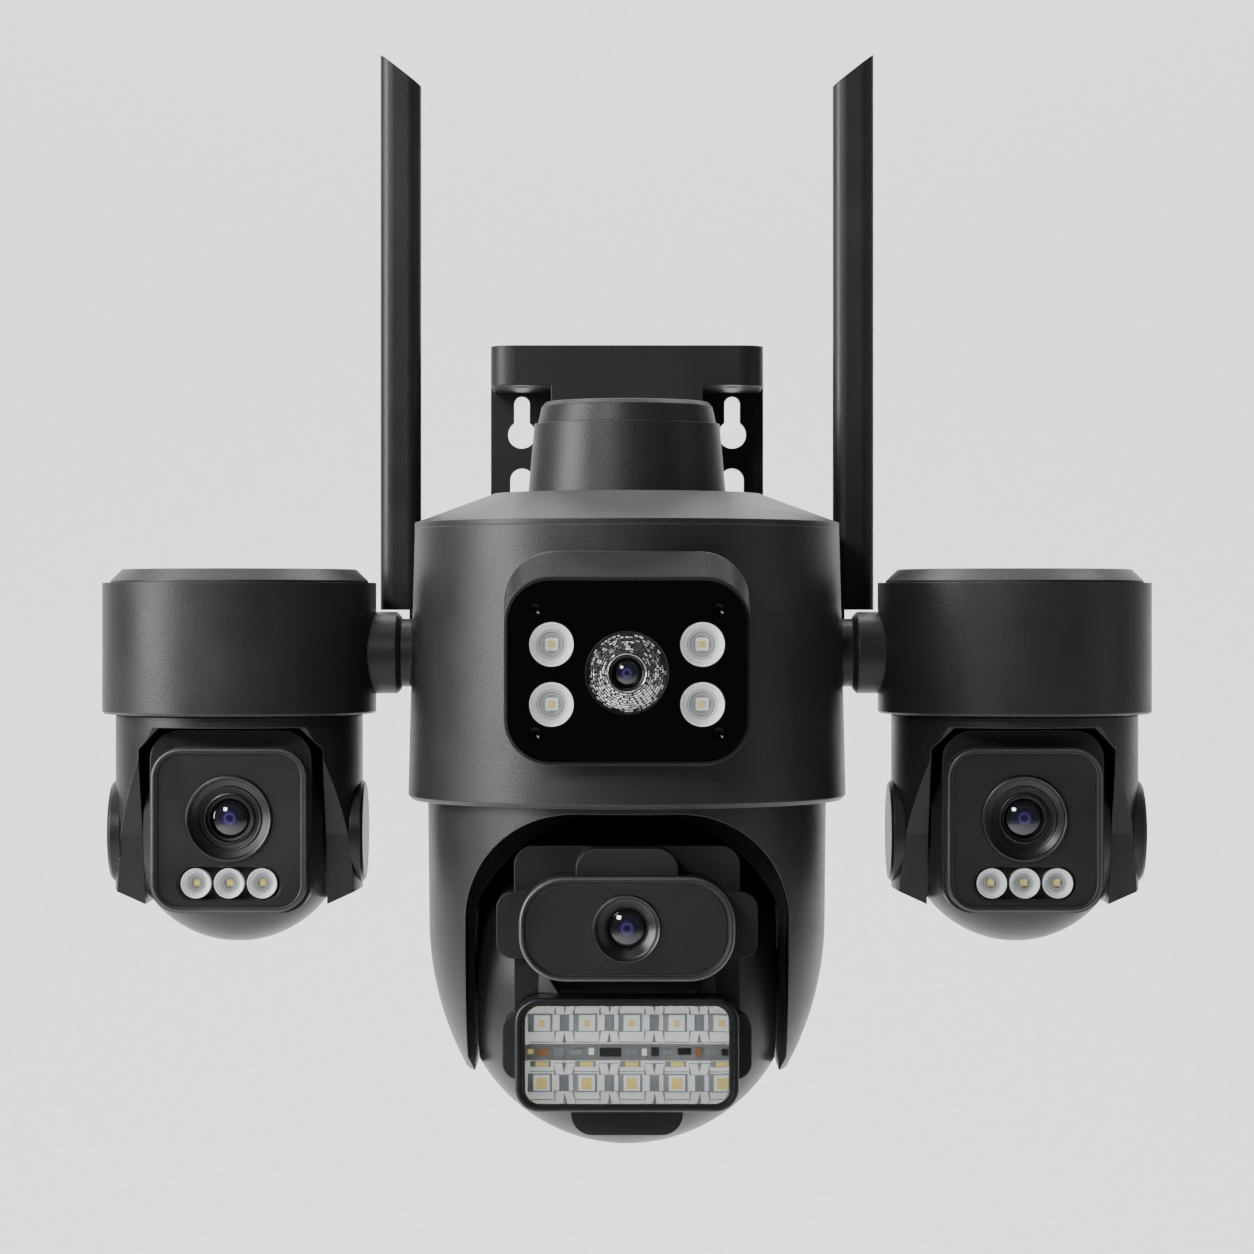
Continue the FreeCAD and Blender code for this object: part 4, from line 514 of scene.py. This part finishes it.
def add_facets(mesh, centre, inner, outer, floor, facet_glint_tones):
    """Rows of small leaning facets between two radii, with gaps drawn at random and each facet's
    material drawn at random from the given tones, where the white and grey ones are painted
    glints.
    """
    rings, length = 8, 1.15
    span = (outer - inner) / rings
    for ring in range(rings):
        start = inner + ring * span
        cells = int(2 * math.pi * start / length)
        for cell in range(cells):
            turn = cell + 0.5 * (ring % 2) + random.uniform(-0.12, 0.12)
            wide = random.uniform(0.62, 0.92)
            near, far = start + span * 0.14, start + span * random.uniform(0.66, 0.86)
            lean = random.uniform(-0.18, 0.18)
            spots = []
            for radius, share, rise in ((near, 0, 0.3), (far, 0, 0.12), (far, wide, 0.12),
                                        (near, wide, 0.3)):
                angle = 2 * math.pi * (turn + share) / cells
                lift = floor + rise + lean * (share - wide / 2)
                spots.append(mesh.verts.new((
                    centre[0] + radius * MM * math.cos(angle), centre[1] - lift * MM,
                    centre[2] + radius * MM * math.sin(angle))))
            add_prism(mesh, spots, centre[1] - (floor - 0.05) * MM, random.choice(facet_glint_tones))


def prism_ring():
    """Clear centre ring cut into rows of small facets, drawn as metal facets with some white and
    grey ones as painted glints, and a bright inner rim round the lens.
    """
    materials = [FRAME_GLOSS, PRISM, BARREL, SILVER, REFLECTOR, WELL_GREY]
    frame_slot, prism, black, silver, white, grey = range(len(materials))
    centre, _, _, depth = back_frame("fresnel_ring")
    outer, inner, rim = 10.75, 5.15, 4.8
    floor = depth - 0.9
    mesh = bmesh.new()
    add_lathe(mesh, centre, [
        (inner, 0, black), (outer, 0, black), (outer, depth - 0.5, frame_slot),
        (outer - 0.2, depth - 0.1, frame_slot), (outer - 0.4, depth - 0.4, black),
        (outer - 0.45, floor - 0.1, black), (inner, floor - 0.1, black), (inner, 0, black)], 120)
    # Of every five facets about one is white and one grey, painted glints among the metal ones.
    add_facets(mesh, centre, inner + 0.2, outer - 0.5, floor, (prism, prism, prism, white, grey))
    add_lathe(mesh, centre, [
        (rim, depth - 1.2), (inner, depth - 1.2), (inner, depth - 0.35),
        (inner - 0.15, depth - 0.2), (rim, depth - 0.4), (rim, depth - 1.2)], 96, silver)
    finish_piece("prism_ring", mesh, "root", materials, ["fresnel_ring"], smooth=20)


def ringed_barrel(name, body, node, rows, material, replaces):
    """Stepped lens barrel: rows are (radius, forward) from the node's back."""
    mesh = bmesh.new()
    add_lathe(mesh, back_frame(node)[0], rows, 128, 0)
    finish_piece(name, mesh, body, [material], replaces, smooth=28)


def funnel(outer, inner, front, floor, ridges):
    """Closed profile: a rounded outer rim, then a ridged funnel down to the inner bore."""
    rows = [(0, 0), (outer, 0), (outer, front - 0.45), (outer - 0.2, front - 0.1),
            (outer - 0.55, front), (outer - 0.95, front - 0.25), (outer - 1.15, front - 1.0)]
    wide = outer - 1.25
    steps = ridges * 2
    for step in range(steps + 1):
        share = step / steps
        wave = 0.22 if step % 2 else 0.0
        rows.append((wide + (inner - wide) * share,
                     front - 1.0 - (front - 1.0 - floor) * share + wave))
    rows += [(inner, floor - 0.6), (0, floor - 0.6)]
    return rows


def front_eye():
    """Small lens in the middle of the prism ring."""
    node, sunk = "front_lens_barrel", 1.9
    span = back_frame(node)[3]
    rows = [(0, 0), (4.7, 0), (4.7, span - 0.4), (4.55, span - 0.1), (4.35, span - 0.2),
            (4.2, span - 1.2), (4.05, span - 1.3), (4.0, span - sunk), (0, span - sunk)]
    ringed_barrel("front_barrel", "root", node, rows, BARREL, [node])
    lens_piece("front_lens", "root", node, 3.98, span - sunk, 1.3, ["front_lens_glass"])


def pod_eye():
    """Lens of the pod, at the end of a ridged funnel."""
    node, bore = "pod_lens_barrel", 5.4
    span = back_frame(node)[3]
    rows = funnel(9.15, bore, span, span - 3.2, 2)
    ringed_barrel("pod_barrel", "main_head", node, rows, BARREL, [node])
    lens_piece("pod_lens", "main_head", node, bore - 0.05, span - 3.9, 1.5, ["pod_lens_glass"])


def side_eye(side):
    """Wide lens of a side head, with stepped rings down to the glass."""
    node, stem, outer, bore, sunk = f"{side}_lens_barrel", 8.3, 11.8, 5.4, 3.9
    span = back_frame(node)[3]
    rows = [(0, 0), (stem, 0), (stem, 12.8), (outer, 12.8), (outer, span - 0.6),
            (11.6, span - 0.15), (11.2, span), (10.7, span - 0.3), (10.5, span - 1.1),
            (8.8, span - 1.9), (8.55, span - 1.6), (8.3, span - 1.7), (8.1, span - 2.3),
            (7.0, span - 2.5), (6.8, span - 2.1), (6.45, span - 2.0), (6.2, span - 2.5),
            (6.0, span - 3.2), (5.45, span - 3.3), (bore, span - sunk), (0, span - sunk)]
    ringed_barrel(f"{side}_barrel", f"{side}_head", node, rows, BARREL, [node])
    lens_piece(f"{side}_lens", f"{side}_head", node, bore - 0.05, span - 3.8, 1.6,
               [f"{side}_lens_glass"])


# ---------------------------------------------------------------- floodlight
FLOOD_MATERIALS = [BOARD_WHITE, WELL_GREY, YELLOW, PAD_GREY, BAND_GREY, FRAME_GLOSS, COPPER]
WHITE, MIRROR, GLOW, SOLDER, BAND, CHIP, TRACE = range(len(FLOOD_MATERIALS))
BOARD_TOP = 2.6
COVER_CORNER = 3.9


def flood_block(mesh, centre, half_x, place, size, rise, material):
    """Block on the board, cut off at the board's ends; place and size are (x, z) in mm."""
    left = max(place[0] - size[0] / 2, 0.15 - half_x)
    right = min(place[0] + size[0] / 2, half_x - 0.15)
    shortest = 0.2
    if right - left < shortest:
        return
    add_block(mesh,
              (centre[0] + left * MM, centre[1] - (BOARD_TOP + rise) * MM,
               centre[2] + (place[1] - size[1] / 2) * MM),
              (centre[0] + right * MM, centre[1] - (BOARD_TOP - 0.1) * MM,
               centre[2] + (place[1] + size[1] / 2) * MM), material)


def add_leaf(mesh, centre, x, z, turn, half_x):
    """Small slanted mirror leaf between two LED wells."""
    if abs(x) > half_x - 1.6:
        return
    back = centre[1]
    add_block(mesh, (centre[0] + (x - 1.4) * MM, back - (BOARD_TOP + 0.14) * MM,
                     centre[2] + (z - 1.55) * MM),
              (centre[0] + (x + 1.4) * MM, back - BOARD_TOP * MM, centre[2] + (z + 1.55) * MM),
              MIRROR)
    wide, tall = 1.2, 1.35
    spots = []
    for sign_x, sign_z, lift in ((-1, -1, 0.2), (1, -1, 0.5), (1, 1, 0.2), (-1, 1, 0.75)):
        across = sign_x * wide + turn * sign_z * 0.35
        spots.append(mesh.verts.new((
            centre[0] + (x + across * 0.85) * MM, back - (BOARD_TOP + lift) * MM,
            centre[2] + (z + sign_z * tall) * MM)))
    add_prism(mesh, spots, back - (BOARD_TOP - 0.05) * MM, WHITE)


def flood_board():
    """White board with wells, LED packages, pads and the dark middle strip of parts."""
    centre, half_x, half_z, _ = back_frame("flood_lens")
    centre = (centre[0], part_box("flood_led_board")[1].y, centre[2])
    mesh = bmesh.new()
    add_shell(mesh, centre, [(half_x, half_z, COVER_CORNER, 0),
                             (half_x, half_z, COVER_CORNER, BOARD_TOP)])

    def block(x, z, wide, tall, rise, material):
        flood_block(mesh, centre, half_x, (x, z), (wide, tall), rise, material)

    pitch, shift, columns = 11.7, 1.3, range(-2, 3)
    for row, die, low_bar, high_bar in ((7.45, 1.55, -5.0, 3.9), (-7.95, 2.7, -4.0, 2.9)):
        for column in columns:
            x = column * pitch + shift
            block(x - 0.4, row, 6.3, 4.7, 0.35, MIRROR)
            block(x, row, 4.2, 4.0, 0.75, WHITE)
            block(x, row - 0.1, die, die + 0.2, 0.9, GLOW)
            block(x, row + low_bar, 6.2, 0.18, 0.5, MIRROR)
            block(x, row + high_bar, 6.2, 0.18, 0.5, MIRROR)
            for across in (-3.35, 3.35):
                block(x + across, row, 0.16, 10.4, 0.7, MIRROR)
            middle = x + pitch / 2
            block(middle, row, 2.5, 3.9, 0.45, SOLDER)
            block(middle, row + 4.3, 0.2, 3.6, 0.5, MIRROR)
            block(middle, row - 4.1, 0.2, 3.2, 0.5, MIRROR)
            for lean in (-1, 1):
                for rise in (-1, 1):
                    add_leaf(mesh, centre, middle + lean * 1.3, row + rise * 3.55,
                             lean * rise, half_x)
    for column in columns:
        x = column * pitch + shift
        block(x - 0.3, -3.15, 5.4, 1.5, 0.3, MIRROR)
        block(x + 0.1, -3.15, 3.4, 1.25, 0.42, GLOW)
    block(0, -0.1, 2 * half_x - 0.4, 4.2, 0.25, BAND)
    strip_parts = (
        (-25, 1.4, GLOW), (-21.6, 3.4, TRACE), (-17.6, 2.8, SOLDER), (-13.2, 3.2, MIRROR),
        (-9.2, 1.4, WHITE), (-4.2, 5.6, CHIP), (1.2, 3.0, SOLDER), (4.6, 1.2, WHITE),
        (7.4, 2.0, CHIP), (10.6, 3.2, SOLDER), (15.0, 3.4, CHIP), (18.6, 1.6, TRACE),
        (22.2, 3.4, SOLDER), (25.4, 1.6, CHIP))
    for index, (x, wide, material) in enumerate(strip_parts):
        tall = 1.2 + 0.5 * ((index * 7) % 3)
        block(x, 0.15 - 0.2 * (index % 2), wide, tall, 0.55 + 0.1 * (index % 3), material)
    finish_piece("flood_board", mesh, "main_head", FLOOD_MATERIALS, ["flood_led_board"],
                 smooth=20)


def flood_cover():
    """Clear flat cover with a rounded front edge."""
    centre, half_x, half_z, depth = back_frame("flood_lens")
    mesh = bmesh.new()
    add_shell(mesh, centre, [
        (half_x, half_z, COVER_CORNER, depth - 1.2), (half_x, half_z, COVER_CORNER, depth - 0.35),
        (half_x - 0.12, half_z - 0.12, 3.8, depth - 0.1),
        (half_x - 0.4, half_z - 0.4, 3.5, depth)])
    finish_piece("flood_cover", mesh, "main_head", [PLATE], ["flood_lens"], smooth=25)


# ---------------------------------------------------------------- housings with shaped rims
# Material slots of the rimmed housings: the body plastic, and the paler plastic that paints a
# highlight on the outer edge.
BODY, EDGE_HIGHLIGHT = 0, 1


def pod_housing():
    """Stadium pod: soft outer rim with a painted highlight on it, narrow raised lip and a sunk
    flat front.
    """
    centre, half_x, half_z, front = back_frame("camera_pod")
    size = (half_x, half_z, 12)
    bore, segments, highlight_rows = 9.2, 48, 4
    mesh = bmesh.new()
    rows = [inset_row(size, 0, 0), inset_row(size, 0, front - 1.5, EDGE_HIGHLIGHT)]
    # The first rows of the rounded outer edge get the paler plastic, a painted highlight.
    for step, row in enumerate(round_over(size, front - 1.1, 0.9, 1.0, 6)):
        rows.append((*row, EDGE_HIGHLIGHT if step < highlight_rows else BODY))
    rows += [inset_row(size, inset, front - fall) for inset, fall in (
        (1.15, 0.1), (1.45, 0.55), (1.6, 1.2), (2.0, 1.25), (2.3, 0.95))]
    add_shell(mesh, centre, rows, caps=(False, False))
    disc_hole(mesh, centre, rows[-1], bore, segments)
    disc_hole(mesh, centre, rows[0], bore, segments)
    add_lathe(mesh, centre, [(bore, 0), (bore, front - 0.95)], segments)
    weld(mesh)
    finish_piece("pod_housing", mesh, "main_head", [SNOUT, RIM_HIGHLIGHT], ["camera_pod"],
                 smooth=32)


def flood_housing():
    """Floodlight frame: rounded outer edge, fine groove and a stepped bevel to the cover."""
    centre, half_x, half_z, front = back_frame("flood_frame")
    _, inner_x, inner_z, _ = back_frame("flood_lens")
    size = (half_x, half_z, 6.2)
    back = 8
    mesh = bmesh.new()
    rows = [(inner_x, inner_z, 4, back), (half_x - 2.4, half_z - 1.9, 4.2, back),
            inset_row(size, 0, back), inset_row(size, 0, front - 1.6)]
    rows += round_over(size, front - 0.9, 0.9, 0.9, 5)
    rows += [(half_x - 1.3, half_z - 1.2, 5.2, front - 0.05),
             (half_x - 1.5, half_z - 1.35, 5.0, front - 0.4),
             (inner_x + 0.35, inner_z + 0.3, 4.3, front - 0.45),
             (inner_x + 0.05, inner_z + 0.05, 4.0, front - 0.8),
             (inner_x, inner_z, 4.0, back)]
    add_shell(mesh, centre, rows, caps=(False, False))
    weld(mesh)
    finish_piece("flood_housing", mesh, "main_head", [FRAME_GLOSS], ["flood_frame"],
                 smooth=32)


def snout_rim(side):
    """Raised frame round the side head's panel, with a fine painted highlight in paler plastic on
    its outer edge.
    """
    panel = back_frame(f"{side}_face_panel")[0]
    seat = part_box(f"{side}_head_shell")[0].y + 0.9 * MM
    centre = (panel[0], seat, panel[2])
    size = (20.95, 22.05, 8.0)
    inner_x, inner_z, inner_corner = 19.3, 21.0, 6.6
    mesh = bmesh.new()
    # The outer edge rows use the paler plastic as a painted highlight.
    rows = [(inner_x, inner_z, inner_corner, 0.0, BODY), inset_row(size, 0.05, 0.0, EDGE_HIGHLIGHT),
            inset_row(size, 0, 0.6, EDGE_HIGHLIGHT)]
    rows += [(*row, EDGE_HIGHLIGHT) for row in round_over(size, 0.6, 0.5, 0.5, 4)]
    rows += [inset_row(size, 0.75, 1.12), inset_row(size, 1.35, 0.95),
             (inner_x, inner_z - 0.02, inner_corner, 0.35),
             (inner_x, inner_z, inner_corner, 0.0)]
    add_shell(mesh, centre, rows, caps=(False, False))
    weld(mesh)
    finish_piece(f"{side}_snout_rim", mesh, f"{side}_head", [SNOUT, RIM_HIGHLIGHT], [],
                 smooth=32)


def window_screws():
    """Small round screw heads with a raised rim and a round recess."""
    low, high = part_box("window_screws")
    radius = 1.7
    front = (high.y - low.y) / MM + 0.1
    mesh = bmesh.new()
    for x in (low.x + radius * MM, high.x - radius * MM):
        for z in (low.z + radius * MM, high.z - radius * MM):
            add_lathe(mesh, (x, high.y, z), [
                (0, 0), (radius - 0.3, 0), (radius - 0.3, front - 1.2), (radius, front - 1.0),
                (radius, front - 0.45), (radius - 0.18, front - 0.2), (radius - 0.45, front - 0.3),
                (0.75, front - 0.45), (0.6, front - 1.1), (0, front - 1.2)], 40)
    finish_piece("screw_heads", mesh, "root", [WINDOW], ["window_screws"],
                 smooth=25)


# ---------------------------------------------------------------- studio
DRUM_FRONT = (0, -0.07, -0.03)
WALL_Y = 3.2


def sweep():
    """Pale floor that bends up into the wall behind the object."""
    half_wide, near, floor, bend, wall_top, steps = 12.0, -14.0, -0.85, 1.2, 3.6, 16
    profile = [(near, floor), (WALL_Y - bend, floor)]
    for step in range(1, steps + 1):
        angle = math.pi / 2 * step / steps
        profile.append((WALL_Y - bend + bend * math.sin(angle),
                        floor + bend * (1 - math.cos(angle))))
    profile.append((WALL_Y, wall_top))
    mesh = bmesh.new()
    rows = [[mesh.verts.new((x, y, z)) for x in (-half_wide, half_wide)] for y, z in profile]
    for first, second in zip(rows, rows[1:]):
        mesh.faces.new((first[0], first[1], second[1], second[0]))
    data = bpy.data.meshes.new("studio_sweep")
    mesh.to_mesh(data)
    mesh.free()
    for face in data.polygons:
        face.use_smooth = True
    backdrop = bpy.data.objects.new("studio_sweep", data)
    bpy.context.scene.collection.objects.link(backdrop)
    data.materials.append(gloss("studio_paint", (0.80, 0.80, 0.81), 0.9, spec=0.0))


def soft_box(name, at, aim, size, power):
    """Rectangular area light at one point, turned to another; size in metres, power in watts."""
    light = bpy.data.lights.new(name, "AREA")
    light.shape = "RECTANGLE"
    light.size, light.size_y = size
    light.energy = power
    lamp = bpy.data.objects.new(name, light)
    lamp.location = at
    lamp.rotation_euler = (Vector(aim) - Vector(at)).to_track_quat("-Z", "Y").to_euler()
    bpy.context.scene.collection.objects.link(lamp)


def lights():
    """Soft key from the left, small front light for the glints, weak fill, and a lit backdrop."""
    soft_box("key_light", (-1.55, -0.62, 0.40), DRUM_FRONT, (0.8, 1.2), 50)
    soft_box("front_light", (-0.7, -1.5, 0.7), DRUM_FRONT, (0.34, 0.3), 13)
    soft_box("fill_light", (1.9, -0.6, 0.3), DRUM_FRONT, (0.5, 1.4), 2.5)
    soft_box("top_light", (-0.3, -0.5, 1.7), (0, 0, 0), (1.2, 0.9), 8)
    soft_box("sweep_light", (0, 1.5, 3.4), (0, WALL_Y, 0.1), (5.0, 1.2), 370)
    soft_box("sweep_low_light", (0, 0.9, -0.35), (0, 3.0, 0.6), (4.5, 0.3), 16)
    world = bpy.data.worlds.new("studio_world")
    world.use_nodes = True
    sky = world.node_tree.nodes["Background"]
    sky.inputs["Color"].default_value = (0.86, 0.87, 0.88, 1)
    sky.inputs["Strength"].default_value = 0.13
    bpy.context.scene.world = world


def camera():
    """Level camera about a metre in front of the drums, as in the photograph."""
    view = bpy.data.cameras.new("camera")
    view.lens = 103.8
    view.sensor_width = 36
    view.shift_y = -0.0136
    view.clip_start = 0.05
    eye = bpy.data.objects.new("camera", view)
    eye.location = (0, -1.066, -0.0225)
    eye.rotation_euler = (math.pi / 2, 0, 0)
    bpy.context.scene.collection.objects.link(eye)
    bpy.context.scene.camera = eye


# ---------------------------------------------------------------- CAD nodes that stay
def dress(name, material):
    """Puts one material on every slot of a CAD node."""
    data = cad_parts[name].data
    for index in range(len(data.materials)):
        data.materials[index] = material


def dress_cad():
    """Materials of the nodes that are shown as CAD made them, and of the hidden ones."""
    by_material = {
        POWDER: ("wall_bracket",),
        CHARCOAL: ("neck_cup", "neck_collar", "roof_cover", "drum_shell", "stub_collars",
                   "antenna_lugs", "main_yoke_shell", "drum_floor", "tilt_trunnions"),
        SNOUT: ("main_head_shell",),
        FACE: ("head_face",),
        WINDOW: ("front_window",),
        BOARD_WHITE: ("front_led_board",),
        RUBBER: ("cable_gland",),
        PCB_GREEN: ("main_board",),
        NYLON: ("pan_gear", "pan_pinion"),
        STEEL: ("neck_bolt", "pan_motor", "tilt_motor"),
    }
    by_side = {
        CHARCOAL: ("antenna", "drum", "drum_lid", "arm_knuckle"),
        SNOUT: ("yoke", "ear_caps", "head_shell"),
        PANEL: ("face_panel",),
        STEEL: ("pan_motor", "tilt_motor"),
    }
    for material, names in by_material.items():
        for name in names:
            dress(name, material)
    for side in SIDES:
        for material, stems in by_side.items():
            for stem in stems:
                dress(f"{side}_{stem}", material)


dress_cad()
front_lamps()
prism_ring()
front_eye()
pod_eye()
for side_name in SIDES:
    side_eye(side_name)
window_screws()
pod_housing()
flood_housing()
flood_board()
flood_cover()
for side_name in SIDES:
    side_lamps(side_name)
    snout_rim(side_name)
sweep()
lights()
camera()
